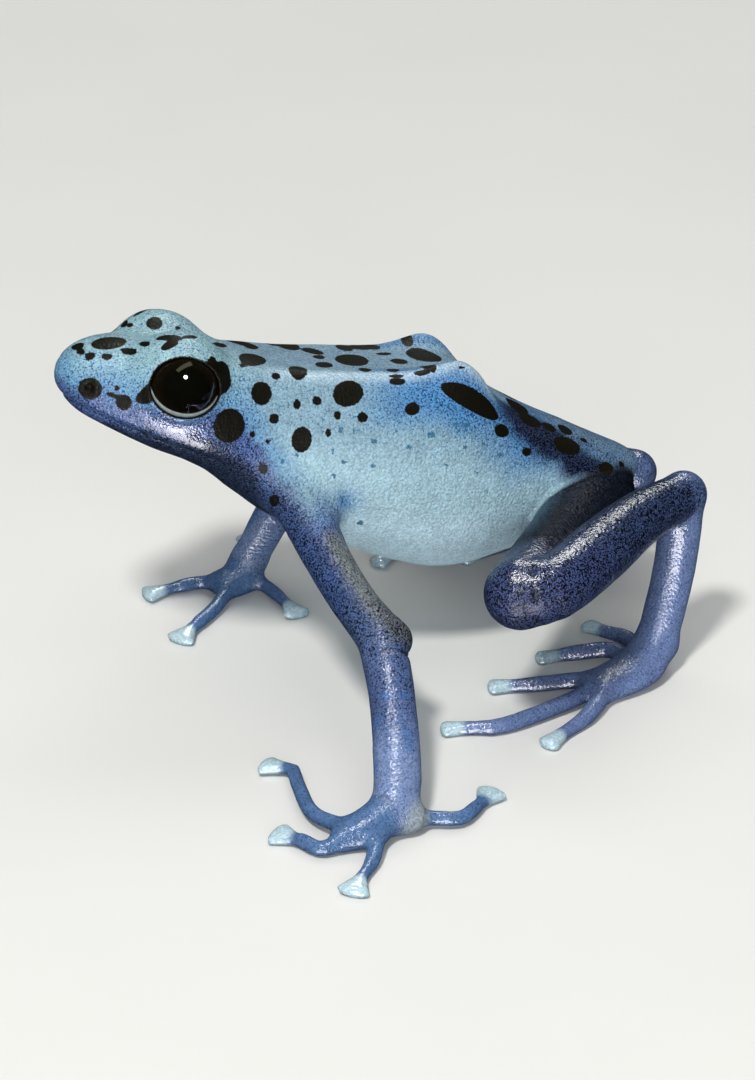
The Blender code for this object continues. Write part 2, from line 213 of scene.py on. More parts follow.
@dataclass(frozen=True)
class Trunk:
    """Head and body: cross-sections from vent to snout, lids and sockets, nostrils and mouth."""

    rows: tuple[tuple[float, ...], ...] = (
        (-21.9, 1.3, -1.6, -0.8, -2.5, 2.2, 2.0),
        (-21.0, 2.4, -1.7, -0.4, -3.5, 2.2, 2.0),
        (-19.0, 3.9, -2.0, 0.1, -5.2, 2.3, 2.0),
        (-16.0, 5.2, -2.3, 0.95, -7.2, 2.3, 2.0),
        (-13.0, 5.9, -2.6, 1.8, -8.5, 2.4, 2.0),
        (-10.0, 6.5, -2.8, 2.9, -9.7, 2.4, 2.1),
        (-7.5, 6.9, -2.8, 4.3, -10.2, 2.6, 2.1),
        (-5.5, 7.1, -2.8, 4.6, -10.1, 2.8, 2.1),
        (-2.0, 7.2, -2.6, 4.1, -9.5, 2.8, 2.1),
        (2.0, 6.8, -2.2, 3.8, -8.5, 2.7, 2.1),
        (5.0, 6.2, -1.9, 3.7, -7.5, 2.6, 2.1),
        (8.0, 5.8, -1.7, 3.8, -5.9, 2.5, 2.1),
        (10.0, 5.9, -1.5, 4.0, -4.7, 2.5, 2.2),
        (12.0, 5.8, -1.4, 4.1, -3.9, 2.6, 2.3),
        (14.0, 5.4, -1.1, 4.1, -3.4, 2.6, 2.3),
        (16.0, 4.7, -0.7, 4.0, -2.8, 2.5, 2.3),
        (18.0, 3.8, -0.2, 3.75, -2.1, 2.4, 2.3),
        (19.6, 2.9, 0.2, 3.2, -1.4, 2.4, 2.3),
        (20.6, 2.0, 0.6, 2.5, -0.6, 2.3, 2.2),
        (21.15, 1.0, 0.85, 1.75, 0.15, 2.1, 2.0),
    )
    vent_tip: Pair = (-22.2, -1.6)
    snout_tip: Pair = (21.35, 0.9)
    ridge_lateral: float = 3.9
    ridge_half_width: float = 1.3
    ridge_height: float = 0.45
    ridge_rear: float = -8.6
    ridge_front: float = 9.0
    ridge_fade: float = 0.8
    hump_at: float = -6.2
    hump_length: float = 2.2
    hump_height: float = 0.85
    mouth_front: Pair = (20.9, -0.45)
    mouth_corner: Pair = (10.0, -2.9)
    jaw_inset: float = 0.96
    lip_groove: float = 0.2
    lid_bulge: Triple = (13.55, 2.85, 1.85)
    lid_radii: Triple = (3.5, 3.05, 3.45)
    nostril: Triple = (19.6, 2.75, 0.75)
    nostril_radius: float = 0.3
    nostril_round: float = 0.15
    lid_flow: float = 1.1
    head: Border = Border(8.6, 10.6)
    head_start: float = 8.0
    jaw: Border = Border(0.08, -0.1)
    groove_half_width: float = 0.14
    groove: Border = Border(10.0, 11.2)
    end_round: float = 0.3
    room_low: Pair = (-9.0, -11.0)
    room_high: Pair = (9.0, 6.2)

    @cached_property
    def table(self) -> Array:
        """Rows of the cross-section's values, a tenth of a millimetre apart.

        Returns:
            One row per place: how far forward it is, then the section's values.
        """
        rows = np.array(self.rows)
        inner = np.arange(rows[0, 0], rows[-1, 0], 0.1)
        values = np.column_stack((inner, blend_rows(rows, inner)))
        ends = [(place, 0.0, up, up, up, 2.0, 2.0) for place, up in (self.vent_tip, self.snout_tip)]
        return np.vstack((ends[0], values, rows[-1], ends[1]))

    def lift(self, forward: Array, left: Array) -> Array:
        """How far the folds beside the spine raise the back.

        Args:
            forward: Places along the trunk.
            left: Places to its left.

        Returns:
            The height that the folds add, in millimetres.
        """
        across = bell(np.abs(left) - self.ridge_lateral, self.ridge_half_width)
        rear = np.tanh((forward - self.ridge_rear) / self.ridge_fade)
        front = np.tanh((forward - self.ridge_front) / self.ridge_fade)
        hump = bell(forward - self.hump_at, self.hump_length)
        return across * (self.ridge_height * 0.5 * (rear - front) + self.hump_height * hump)

    def above_mouth(self, forward: Array, up: Array) -> Array:
        """Height above the plane of the mouth.

        Args:
            forward: Places along the trunk.
            up: Their heights.

        Returns:
            Distances from the plane, negative below it.
        """
        (front, high), (corner, low) = self.mouth_front, self.mouth_corner
        run, rise = front - corner, high - low
        return ((up - low) * run - (forward - corner) * rise) / math.hypot(run, rise)

    def tube_part(self, local: Array) -> Array:
        """Distance to the trunk without lids, sockets or nostrils.

        Args:
            local: Rows of forward, left, up.

        Returns:
            Distances, about right near the skin.
        """
        forward, left, up = local.T
        table = self.table
        width, level, top, bottom, upper, lower = (
            np.interp(forward, table[:, 0], table[:, c]) for c in range(1, 7)
        )
        mouth = self.above_mouth(forward, up)
        inset = (1 - self.jaw_inset) * self.head.share(forward) * self.jaw.share(mouth)
        width = width * (1 - inset)
        over = up > level
        raised = np.where(over, up - level - self.lift(forward, left), up - level)
        raised = np.where(over, np.maximum(raised, 0.0), raised)
        reach = np.maximum(np.where(over, top - level, level - bottom), 1e-3)
        power = np.where(over, upper, lower)
        width = np.maximum(width, 1e-3)
        form = (np.abs(left) / width) ** power + (np.abs(raised) / reach) ** power
        scale = np.maximum(form, 1e-9) ** (1 / power)
        radius = np.hypot(left, raised)
        section = np.where(scale > 1e-2, radius * (1 - 1 / np.maximum(scale, 1e-2)), -reach)
        groove = self.lip_groove * bell(mouth, self.groove_half_width) * self.groove.share(forward)
        ends = np.maximum(forward - self.snout_tip[0], self.vent_tip[0] - forward)
        return smooth_max(section + groove, ends, self.end_round)

    def distance(self, points: Array) -> Array:
        """Distance to the whole trunk, with the lids open round the eyes.

        Args:
            points: Rows of x, y, z.

        Returns:
            One distance for each point, negative inside.
        """
        local = floor_to_body(points)
        low = np.array((self.vent_tip[0], *self.room_low)) - MARGIN
        high = np.array((self.snout_tip[0], *self.room_high)) + MARGIN
        near = np.flatnonzero(((local > low) & (local < high)).all(axis=1))
        whole = np.full(len(points), FAR)
        if not near.size:
            return whole
        local = local[near]
        found = self.tube_part(local)
        head = np.flatnonzero(local[:, 0] > self.head_start)
        if head.size:
            found[head] = self.with_head_details(local[head], found[head])
        whole[near] = found
        return whole

    def with_head_details(self, local: Array, found: Array) -> Array:
        """Add lids and cut sockets and nostrils on both sides.

        Args:
            local: Rows of forward, left, up.
            found: Distances to the plain head at those points.

        Returns:
            Distances to the finished head.
        """
        for side in Side:
            mirror = np.array((1.0, side.value, 1.0))
            offset = local - np.array(self.lid_bulge) * mirror
            ratio = length(offset / np.array(self.lid_radii))
            bulge = (ratio - 1) * length(offset) / np.maximum(ratio, 1e-3)
            found = smooth_min(found, bulge, self.lid_flow)
            found = EYES[side].open_lids(local, found)
            pit = length(local - np.array(self.nostril) * mirror) - self.nostril_radius
            found = smooth_max(found, -pit, self.nostril_round)
        return found


@dataclass(frozen=True)
class Eye:
    """One eye: a wet dark ball, the lids round it, and the pale edge of the lower lid."""

    side: Side
    centre: Triple = (13.55, 3.7, 1.85)
    radius: float = 2.65
    lid_thickness: float = 0.27
    look: Triple = (0.2, 0.95, 0.24)
    opening: Pair = (2.36, 2.0)
    opening_drop: float = 0.22
    opening_back: float = 0.14
    clearance: float = 0.03
    lid_flow: float = 0.5
    opening_round: float = 0.12
    socket_round: float = 0.04
    cornea_height: float = 0.012
    cornea: Border = Border(0.75, 1.0)
    rim_arc: Pair = (184.0, 354.0)
    rim_taper: float = 0.6
    rim_inset: float = 0.06
    rim_inset_gain: float = 0.12
    rim_half_width: float = 0.18
    rim_height: float = 0.1
    rim_lift: float = 0.03
    dark_edge: float = 0.12
    iris_stretch: float = 1.15
    iris_inner: Border = Border(0.5, 0.62)
    iris_outer: Border = Border(0.95, 0.8)

    @cached_property
    def mirror(self) -> Array:
        """Turns a place on the left side into one on this eye's side."""
        return np.array((1.0, self.side.value, 1.0))

    @cached_property
    def middle(self) -> Array:
        """The ball's centre on the trunk's axes."""
        return np.array(self.centre) * self.mirror

    @cached_property
    def axes(self) -> Array:
        """The eye's own axes on those of the trunk.

        Returns:
            Three columns: where the eye looks, along the head, and up.
        """
        out = np.array(self.look) / np.linalg.norm(self.look)
        along = np.cross((0.0, 0.0, 1.0), out)
        along /= np.linalg.norm(along)
        return np.column_stack((out, -along, np.cross(out, along))) * self.mirror[:, None]

    def split(self, local: Array) -> tuple[Array, Array, Array]:
        """Offsets from the ball's centre, out along the look and within the opening's plane."""
        out, along, up = ((local - self.middle) @ self.axes).T
        return out, along + self.opening_back, up + self.opening_drop

    def rim(self, local: Array) -> Array:
        """How far a point is outside the edge of the lids' opening.

        Args:
            local: Points on the trunk's axes.

        Returns:
            Distances in millimetres, negative inside the opening.
        """
        out, along, up = self.split(local)
        wide, high = self.opening
        ratio = np.hypot(along / wide, up / high)
        return np.where(out > 0, (ratio - 1) * np.hypot(along, up) / np.maximum(ratio, 1e-3), FAR)

    def open_lids(self, local: Array, found: Array) -> Array:
        """Wrap the ball in lids, then open them and clear the ball's own room.

        Args:
            local: Rows of forward, left, up.
            found: Distances to the head at those points.

        Returns:
            Distances to the head with this eye's lids.
        """
        gap = length(local - self.middle) - self.radius
        found = smooth_min(found, gap - self.lid_thickness, self.lid_flow)
        found = smooth_max(found, -self.rim(local), self.opening_round)
        return smooth_max(found, self.clearance - gap, self.socket_round)

    def ball(self) -> bpy.types.Object:
        """Build the ball, with a cornea that stands a little proud along the look.

        Returns:
            The ball's object.
        """
        rings, turns = 48, 64
        points, faces = ball_mesh(rings, turns)
        swell = 1 + self.cornea_height * self.cornea.share(points[:, 0])
        local = self.middle + (points * self.radius * swell[:, None]) @ self.axes.T
        return make_object(f"eye_ball_{self.side.name.lower()}", body_to_floor(local), faces)

    def lower_lid(self) -> bpy.types.Object:
        """Build the pale moist edge of the lower lid, a crescent that hugs the ball.

        Returns:
            The lid's object.
        """
        wide, high = self.opening
        count, around = 72, 12
        turn = np.linspace(*np.radians(self.rim_arc), count)
        taper = np.sin(np.linspace(0, math.pi, count)) ** self.rim_taper
        inset = self.rim_inset + self.rim_inset_gain * taper
        along = np.cos(turn) * (wide - inset) - self.opening_back
        up = np.sin(turn) * (high - inset) - self.opening_drop
        out = np.sqrt(np.maximum(self.radius**2 - along**2 - up**2, 0.0))
        spine = np.column_stack((out, along, up))
        outward = spine / length(spine)[:, None]
        tangent = np.gradient(spine, axis=0)
        tangent /= length(tangent)[:, None]
        across = np.cross(outward, tangent)
        rings = []
        for k in range(around):
            angle = 2 * math.pi * k / around
            wide_part = across * (self.rim_half_width * taper * math.cos(angle))[:, None]
            high_part = outward * (self.rim_height * taper * math.sin(angle))[:, None]
            rings.append(spine + outward * self.rim_lift + wide_part + high_part)
        points = np.stack(rings, axis=1).reshape(-1, 3)
        faces = band_faces(count, around)
        faces += [tuple(range(around))[::-1], tuple(range((count - 1) * around, count * around))]
        local = self.middle + points @ self.axes.T
        name = f"lower_lid_{self.side.name.lower()}"
        return make_object(name, body_to_floor(local), faces)


EYES = {side: Eye(side) for side in Side}


def band_faces(count: int, around: int) -> list[tuple[int, ...]]:
    """Four-cornered faces between rings of points.

    Args:
        count: Number of rings.
        around: Points in each ring.

    Returns:
        Corner numbers of each face.
    """
    faces = []
    for i in range(count - 1):
        for j in range(around):
            a, b = i * around + j, i * around + (j + 1) % around
            faces.append((a, b, b + around, a + around))
    return faces


def ball_mesh(rings: int, turns: int) -> tuple[Array, list[tuple[int, ...]]]:
    """Unit ball about its first axis.

    Args:
        rings: Rings of points between the two poles.
        turns: Points in each ring.

    Returns:
        Points and faces.
    """
    points = [(1.0, 0.0, 0.0)]
    for i in range(1, rings + 1):
        fall = math.pi * i / (rings + 1)
        for j in range(turns):
            turn = 2 * math.pi * j / turns
            wide = math.sin(fall)
            points.append((math.cos(fall), wide * math.cos(turn), wide * math.sin(turn)))
    points.append((-1.0, 0.0, 0.0))
    faces = [tuple(c + 1 for c in face) for face in band_faces(rings, turns)]
    last = len(points) - 1
    for j in range(turns):
        follow = (j + 1) % turns
        faces.append((0, 1 + follow, 1 + j))
        faces.append((last, last - turns + j, last - turns + follow))
    return np.array(points), faces


class Ring(NamedTuple):
    """One sample of a tube."""

    centre: Array
    normal: Array
    width: float
    thick: float


@dataclass(frozen=True)
class Tube:
    """Round-ended tube through joints of (point, half width, half thickness)."""

    joints: tuple[Joint, ...]
    steps: int = 4

    @cached_property
    def rings(self) -> list[Ring]:
        """Samples along the tube, with the direction of its thickness carried from joint to joint.

        Returns:
            The samples, from the first joint to the last.
        """
        points = np.array([joint[0] for joint in self.joints])
        reach = np.concatenate(([0.0], np.cumsum(length(np.diff(points, axis=0)))))
        sizes = np.array([joint[1:] for joint in self.joints])
        places = np.linspace(0.0, reach[-1], self.steps * (len(points) - 1) + 1)
        samples = blend_rows(np.column_stack((reach, points, sizes)), places)
        centres = samples[:, :3]
        rings = []
        normal = np.array((0.0, 0.0, 1.0))
        for k, centre in enumerate(centres):
            along = centres[min(k + 1, len(centres) - 1)] - centres[max(k - 1, 0)]
            along /= np.linalg.norm(along)
            normal = normal - along * normal.dot(along)
            normal = normal / np.linalg.norm(normal)
            rings.append(Ring(centre, normal, samples[k, 3], samples[k, 4]))
        return rings

    @cached_property
    def box(self) -> tuple[Array, Array]:
        """Corners of the room within which distances are worked out.

        Returns:
            The lowest and the highest corner.
        """
        centres = np.array([ring.centre for ring in self.rings])
        widest = max(ring.width for ring in self.rings) + MARGIN
        return centres.min(axis=0) - widest, centres.max(axis=0) + widest

    def near(self, points: Array) -> Array:
        """Numbers of the points inside this tube's box.

        Args:
            points: Points on the floor's axes, in millimetres.

        Returns:
            The numbers, none where the tube is far from every point.
        """
        low, high = self.box
        inside = (points[:, 0] > low[0]) & (points[:, 0] < high[0])
        if not inside.any():
            return np.empty(0, int)
        for axis in (1, 2):
            inside &= (points[:, axis] > low[axis]) & (points[:, axis] < high[axis])
        return np.flatnonzero(inside)

    def measure(self, points: Array) -> tuple[Array, Array]:
        """Distance to the tube and place along it.

        Args:
            points: Rows of x, y, z.

        Returns:
            Distances, negative inside, and places from 0 at the root to 1 at the tip.
        """
        best = np.full(len(points), FAR)
        place = np.zeros(len(points))
        spans = len(self.rings) - 1
        for k, (start, end) in enumerate(zip(self.rings, self.rings[1:])):
            run = end.centre - start.centre
            run_length = float(np.linalg.norm(run))
            along = run / run_length
            offset = points - start.centre
            share = np.clip(offset @ along / run_length, 0.0, 1.0)
            offset = offset - share[:, None] * run
            normal = start.normal + end.normal
            normal = normal / np.linalg.norm(normal)
            high, past = offset @ normal, offset @ along
            width = start.width + (end.width - start.width) * share
            thick = start.thick + (end.thick - start.thick) * share
            size = length(offset)
            side = np.maximum(size**2 - high**2 - past**2, 0.0)
            round_size = np.sqrt(side + (high**2 + past**2) * (width / thick) ** 2)
            found = (size + 1e-6) / (round_size + 1e-6) * (round_size - width)
            closer = found < best
            best = np.where(closer, found, best)
            place = np.where(closer, (k + share) / spans, place)
        return best, place


@dataclass(frozen=True)
class Bump:
    """A small rounded swelling of the skin, such as the point of an elbow, on one segment of a limb."""

    segment: int
    centre: Triple
    radius: float
    flow: float = 0.6

    def join(self, points: Array, found: Array) -> Array:
        """Swell a field of distances by this form."""
        swelling = length(points - np.array(self.centre)) - self.radius
        return smooth_min(found, swelling, self.flow)


@dataclass(frozen=True)
class Fold:
    """A short crease pressed into the skin along a line of points."""

    path: tuple[Triple, ...]
    depth: float = 0.24
    half_width: float = 0.2

    def press(self, points: Array) -> Array:
        """How strongly the fold acts at each point, from 0 to 1.

        Args:
            points: Points on the floor's axes, in millimetres.

        Returns:
            One share per point.
        """
        nearest = np.full(len(points), FAR)
        for start, end in zip(self.path, self.path[1:]):
            run = np.array(end) - np.array(start)
            offset = points - np.array(start)
            share = np.clip(offset @ run / run.dot(run), 0.0, 1.0)
            nearest = np.minimum(nearest, length(offset - share[:, None] * run))
        return bell(nearest, self.half_width)


@dataclass(frozen=True)
class Limb:
    """An arm or a leg: its segments from the trunk outward, its digits, and how it joins the trunk."""

    name: str
    root: Triple
    root_size: float
    segments: tuple[tuple[Joint, ...], ...]
    digits: tuple[tuple[Joint, ...], ...]
    root_flow: float
    root_spread: float
    flows: tuple[float, ...]
    bumps: tuple[Bump, ...] = ()
    folds: tuple[Fold, ...] = ()
    crease: float = 0.35
    digit_flow: float = 0.75
    pad_start: float = 1.6
    pad_full: float = 1.0
    pace: float = 9.0

    @cached_property
    def start(self) -> Array:
        """The limb's root inside the trunk, on the floor's axes."""
        return body_to_floor(np.array(self.root))

    @cached_property
    def tubes(self) -> list[Tube]:
        """The limb's segments, each from the last joint of the one before.

        Returns:
            One tube per segment.
        """
        chain: Joint = (tuple(self.start), self.root_size, self.root_size)
        tubes = []
        for segment in self.segments:
            tubes.append(Tube((chain, *segment)))
            chain = segment[-1]
        return tubes

    @cached_property
    def digit_tubes(self) -> list[Tube]:
        """The limb's digits."""
        return [Tube(joints, 3) for joints in self.digits]

    def distance(self, points: Array) -> Array:
        """Distance to the limb with its digits.

        Args:
            points: Rows of x, y, z.

        Returns:
            One distance for each point, negative inside.
        """
        whole = np.full(len(points), FAR)
        flows = [*self.flows] + [self.digit_flow] * len(self.digit_tubes)
        for number, (tube, flow) in enumerate(zip(self.tubes + self.digit_tubes, flows)):
            near = tube.near(points)
            if not near.size:
                continue
            found, _ = tube.measure(points[near])
            for bump in self.bumps:
                if bump.segment == number:
                    found = bump.join(points[near], found)
            whole[near] = smooth_min(whole[near], found, flow)
        for fold in self.folds:
            whole += fold.depth * fold.press(points)
        return whole

    def progress(self, points: Array) -> Array:
        """How far along the limb points lie: whole numbers are the ends of its segments.

        Args:
            points: Points on the floor's axes, in millimetres.

        Returns:
            One place per point.
        """
        best = np.full(len(points), FAR)
        place = np.zeros(len(points))
        parts = [(tube, k) for k, tube in enumerate(self.tubes)]
        parts += [(tube, len(self.tubes)) for tube in self.digit_tubes]
        for tube, number in parts:
            near = tube.near(points)
            if not near.size:
                continue
            found, along = tube.measure(points[near])
            closer = near[found < best[near]]
            place[closer] = (number + along)[found < best[near]]
            best[closer] = found[found < best[near]]
        return place

    def pad_share(self, points: Array) -> Array:
        """How much each point belongs to the pad at a digit's tip.

        Args:
            points: Points on the floor's axes, in millimetres.

        Returns:
            Shares from 0 to 1.
        """
        nearest = np.full(len(points), FAR)
        for joints in self.digits:
            nearest = np.minimum(nearest, length(points - np.array(joints[-1][0])))
        return ease(nearest, self.pad_start, self.pad_full)

    def flow_at(self, points: Array) -> Array:
        """How softly the limb runs into the trunk, softest at its root."""
        near_root = bell(length(points - self.start), self.root_spread)
        return self.crease + (self.root_flow - self.crease) * near_root


def digit_joints(
    path: Sequence[tuple[float, ...]], radius: float, pad: Pair
) -> tuple[Joint, ...]:
    """Joints of a digit that thins a little, then widens into the flat pad at its tip.

    Args:
        path: Points of the digit, root first, the tip without a height.
        radius: Half thickness at the root.
        pad: Half width and half thickness of the pad.

    Returns:
        The joints, for a tube.
    """
    thinning, waist, pad_length, sink = (1.1, 1.0, 0.95, 0.9), 0.8, 1.5, 0.07
    joints = [(point, radius * thin, radius * thin) for point, thin in zip(path[:-1], thinning)]
    before = np.array(path[-2])
    tip = np.array((*path[-1], pad[1] - sink))
    along = (tip - before) / np.linalg.norm(tip - before)
    joints.append((tuple(tip - along * pad_length), radius * waist, radius * waist))
    joints.append((tuple(tip), *pad))
    return tuple(joints)


FINGER = (0.5, (1.1, 0.45))
TOE = (0.58, (0.8, 0.45))

LEFT_FINGERS = (
    ((-7.2, -30.4, 1.0), (-8.9, -27.8, 0.9), (-8.9, -23.6, 0.8), (-8.7, -21.5, 0.7), (-10.1, -20.2)),
    ((-7.4, -31.3, 0.9), (-9.4, -31.7, 0.6), (-10.4, -30.4, 0.6), (-11.6, -28.9)),
    ((-5.6, -31.6, 0.9), (-6.6, -33.9, 0.6), (-8.7, -36.8)),
    ((-4.6, -30.4, 1.1), (-2.0, -30.2, 0.8), (0.3, -30.7, 0.7), (1.7, -29.6, 0.6), (3.4, -27.8)),
)
RIGHT_FINGERS = (
    ((-5.4, 4.9, 1.0), (-4.2, 4.6, 0.8), (-3.4, 3.0, 0.6), (-2.6, 0.2)),
    ((-6.6, 4.4, 0.9), (-8.1, 2.4, 0.6), (-9.9, 0.4, 0.6), (-11.6, -1.2)),
    ((-6.8, 5.2, 0.9), (-8.2, 6.3, 0.6), (-9.8, 6.2, 0.6), (-12.3, 6.0)),
    ((-5.3, 6.0, 1.0), (-4.6, 8.2, 0.7), (-3.8, 10.2, 0.6), (-3.0, 12.4)),
)
LEFT_TOES = (
    ((19.2, -13.8, 1.3), (18.9, -10.6, 0.8), (17.2, -7.6)),
    ((18.0, -14.6, 1.1), (17.2, -12.0, 0.8), (14.6, -11.4, 0.6), (12.4, -11.1)),
    ((15.4, -16.2, 0.9), (13.2, -15.3, 0.7), (10.5, -14.9, 0.6), (7.9, -14.1)),
    ((14.6, -17.0, 0.9), (11.7, -18.2, 0.7), (6.5, -19.8, 0.6), (3.0, -18.8)),
    ((15.0, -17.6, 0.9), (12.8, -20.1, 0.6), (9.2, -22.6)),
)
RIGHT_TOES = (
    ((20.2, 7.8, 1.1), (18.2, 5.4, 0.7), (15.6, 3.6)),
    ((18.4, 8.0, 1.0), (15.8, 6.2, 0.7), (11.6, 4.9)),
    ((16.4, 8.2, 0.9), (13.2, 7.2, 0.6), (8.6, 6.1)),
    ((16.0, 8.8, 0.9), (12.2, 8.9, 0.6), (7.6, 7.8, 0.6), (5.3, 6.2)),
    ((16.2, 9.4, 0.9), (13.2, 11.4, 0.6), (10.0, 13.2)),
)

LIMBS = (
    Limb(
        "arm_left",
        root=(4.6, 4.2, -4.0),
        root_size=2.2,
        segments=(
            (
                ((-4.3, -13.0, 12.8), 1.65, 1.65),
                ((-3.2, -17.0, 10.5), 1.55, 1.55),
                ((-1.9, -19.7, 8.8), 1.65, 1.65),
            ),
            (
                ((-2.3, -23.6, 6.3), 1.55, 1.55),
                ((-3.3, -28.4, 3.1), 1.6, 1.5),
                ((-4.0, -30.0, 1.6), 1.5, 1.45),
            ),
            (((-6.6, -31.0, 1.1), 1.35, 1.15), ((-7.6, -31.0, 0.9), 1.1, 0.95)),
        ),
        digits=tuple(digit_joints(path, *FINGER) for path in LEFT_FINGERS),
        root_flow=2.4,
        root_spread=5.0,
        flows=(0.6, 0.22, 0.6),
        bumps=(Bump(0, (-1.2, -19.7, 8.5), 1.42, 0.4), Bump(2, (-3.15, -30.45, 1.25), 1.1, 0.4)),
        folds=(Fold(((-3.0, -21.3, 8.9), (-2.15, -21.95, 9.0), (-1.0, -21.8, 8.7), (-0.2, -21.2, 7.6))),),
    ),
    Limb(
        "arm_right",
        root=(4.8, -4.2, -4.0),
        root_size=2.2,
        segments=(
            (((-2.2, 4.4, 13.2), 1.7, 1.7), ((1.6, 8.6, 11.0), 1.65, 1.65)),
            (
                ((-0.6, 7.8, 7.8), 1.5, 1.5),
                ((-3.3, 6.5, 4.2), 1.35, 1.35),
                ((-4.7, 5.9, 2.2), 1.25, 1.25),
            ),
            (((-5.8, 5.3, 1.1), 1.4, 1.15), ((-6.8, 5.0, 0.9), 1.25, 0.95)),
        ),
        digits=tuple(digit_joints(path, *FINGER) for path in RIGHT_FINGERS),
        root_flow=2.4,
        root_spread=5.0,
        flows=(0.6, 0.3, 0.6),
    ),
    Limb(
        "leg_left",
        root=(-18.6, 2.4, -3.6),
        root_size=2.8,
        segments=(
            (((13.0, -13.8, 10.9), 2.75, 2.75), ((7.4, -21.2, 11.6), 2.45, 2.45)),
            (
                ((9.3, -21.9, 12.0), 2.2, 2.2),
                ((13.8, -18.5, 12.4), 2.2, 2.2),
                ((17.9, -15.4, 12.9), 1.9, 1.9),
                ((22.0, -12.9, 13.0), 1.55, 1.55),
            ),
            (((21.4, -13.3, 7.6), 1.5, 1.45), ((19.9, -14.2, 2.2), 1.5, 1.3)),
            (((18.0, -15.6, 1.15), 1.85, 1.05), ((14.4, -17.0, 0.8), 1.6, 0.85)),
        ),
        digits=tuple(digit_joints(path, *TOE) for path in LEFT_TOES),
        root_flow=1.8,
        root_spread=4.5,
        flows=(0.6, 0.18, 0.45, 0.7),
        folds=(Fold(((7.9, -22.3, 14.0), (7.6, -23.7, 12.6), (7.9, -23.5, 10.5)), 0.15, 0.17),),
        digit_flow=0.45,
    ),
    Limb(
        "leg_right",
        root=(-18.4, -2.4, -3.8),
        root_size=2.8,
        segments=(
            (((13.4, 4.6, 9.8), 2.75, 2.75), ((9.2, 12.0, 8.4), 2.45, 2.45)),
            (
                ((11.4, 12.0, 8.0), 2.1, 2.1),
                ((16.8, 7.6, 7.0), 2.1, 2.1),
                ((20.6, 3.6, 7.8), 1.85, 1.85),
                ((23.5, 1.2, 7.8), 1.55, 1.55),
            ),
            (((22.8, 5.2, 4.9), 1.5, 1.4), ((21.2, 8.8, 2.0), 1.5, 1.25)),
            (((19.2, 9.0, 1.1), 1.85, 1.05), ((15.8, 8.8, 0.8), 1.6, 0.85)),
        ),
        digits=tuple(digit_joints(path, *TOE) for path in RIGHT_TOES),
        root_flow=1.8,
        root_spread=4.5,
        flows=(0.6, 0.18, 0.45, 0.7),
        digit_flow=0.45,
    ),
)


def tidy_rows(points: Array) -> Array:
    """Points in millimetres about the joints' origin, as metres about the model's."""
    return (points - ORIGIN_SHIFT) * MM


def make_object(name: str, points: Array, faces: Sequence[Sequence[int]]) -> bpy.types.Object:
    """Make a smooth-shaded object.

    Args:
        name: The piece's name.
        points: Rows of x, y, z in millimetres.
        faces: Corner numbers of each face.

    Returns:
        The object, in the open scene.
    """
    data = bpy.data.meshes.new(name)
    data.from_pydata(tidy_rows(np.asarray(points)).tolist(), [], [list(face) for face in faces])
    data.update()
    data.shade_smooth()
    obj = bpy.data.objects.new(name, data)
    bpy.context.scene.collection.objects.link(obj)
    return obj


def sample_field(field: Field, low: Array, high: Array, step: float) -> Array:
    """Work out a field on a grid, a slab at a time.

    Args:
        field: Gives distances for rows of points.
        low: Lowest corner.
        high: Highest corner.
        step: Distance between samples.

    Returns:
        Values on the grid.
    """
    xs, ys, zs = (np.arange(a, b, step) for a, b in zip(low, high))
    values = np.empty((len(xs), len(ys), len(zs)), np.float32)
    for i in range(0, len(xs), SLAB):
        grid = np.meshgrid(xs[i : i + SLAB], ys, zs, indexing="ij")
        points = np.stack(grid, axis=-1).reshape(-1, 3)
        values[i : i + SLAB] = field(points).reshape(grid[0].shape)
    return values


def surface_net(values: Array, low: Array, step: float) -> tuple[Array, Array]:
    """Mesh the zero level of a grid, one point in each cell that it crosses.

    Args:
        values: Distances on the grid.
        low: Where its first sample lies.
        step: Distance between samples.

    Returns:
        Points, and faces of four corners that face outward.
    """
    inside = values < 0
    shape = tuple(n - 1 for n in values.shape)
    corners = [(a, b, c) for a in (0, 1) for b in (0, 1) for c in (0, 1)]
    count = np.zeros(shape, np.uint8)
    for a, b, c in corners:
        count += inside[a : a + shape[0], b : b + shape[1], c : c + shape[2]]
    cells = np.argwhere((count > 0) & (count < 8))
    index = np.full(shape, -1, np.int32)
    index[tuple(cells.T)] = np.arange(len(cells))
    total = np.zeros((len(cells), 3))
    hits = np.zeros(len(cells))
    for start in corners:
        for axis in range(3):
            if start[axis]:
                continue
            end = list(start)
            end[axis] = 1
            first = values[tuple((cells + start).T)]
            second = values[tuple((cells + end).T)]
            crossed = (first < 0) != (second < 0)
            share = np.where(crossed, first / np.where(crossed, first - second, 1), 0)
            place = np.tile(np.array(start, float), (len(cells), 1))
            place[:, axis] += share
            total += place * crossed[:, None]
            hits += crossed
    points = low + step * (cells + total / hits[:, None])
    faces = []
    for axis in range(3):
        u, v = (axis + 1) % 3, (axis + 2) % 3
        lower, upper = [slice(1, -1)] * 3, [slice(1, -1)] * 3
        lower[axis], upper[axis] = slice(0, -1), slice(1, None)
        before, after = inside[tuple(lower)], inside[tuple(upper)]
        where = np.argwhere(before != after)
        leaving = before[tuple(where.T)]
        base = where + np.array([0 if k == axis else 1 for k in range(3)])
        around = []
        for du, dv in ((1, 1), (0, 1), (0, 0), (1, 0)):
            cell = base.copy()
            cell[:, u] -= du
            cell[:, v] -= dv
            around.append(index[tuple(cell.T)])
        quads = np.stack(around, axis=1)
        faces.append(np.where(leaving[:, None], quads, quads[:, ::-1]))
    return points, np.concatenate(faces)


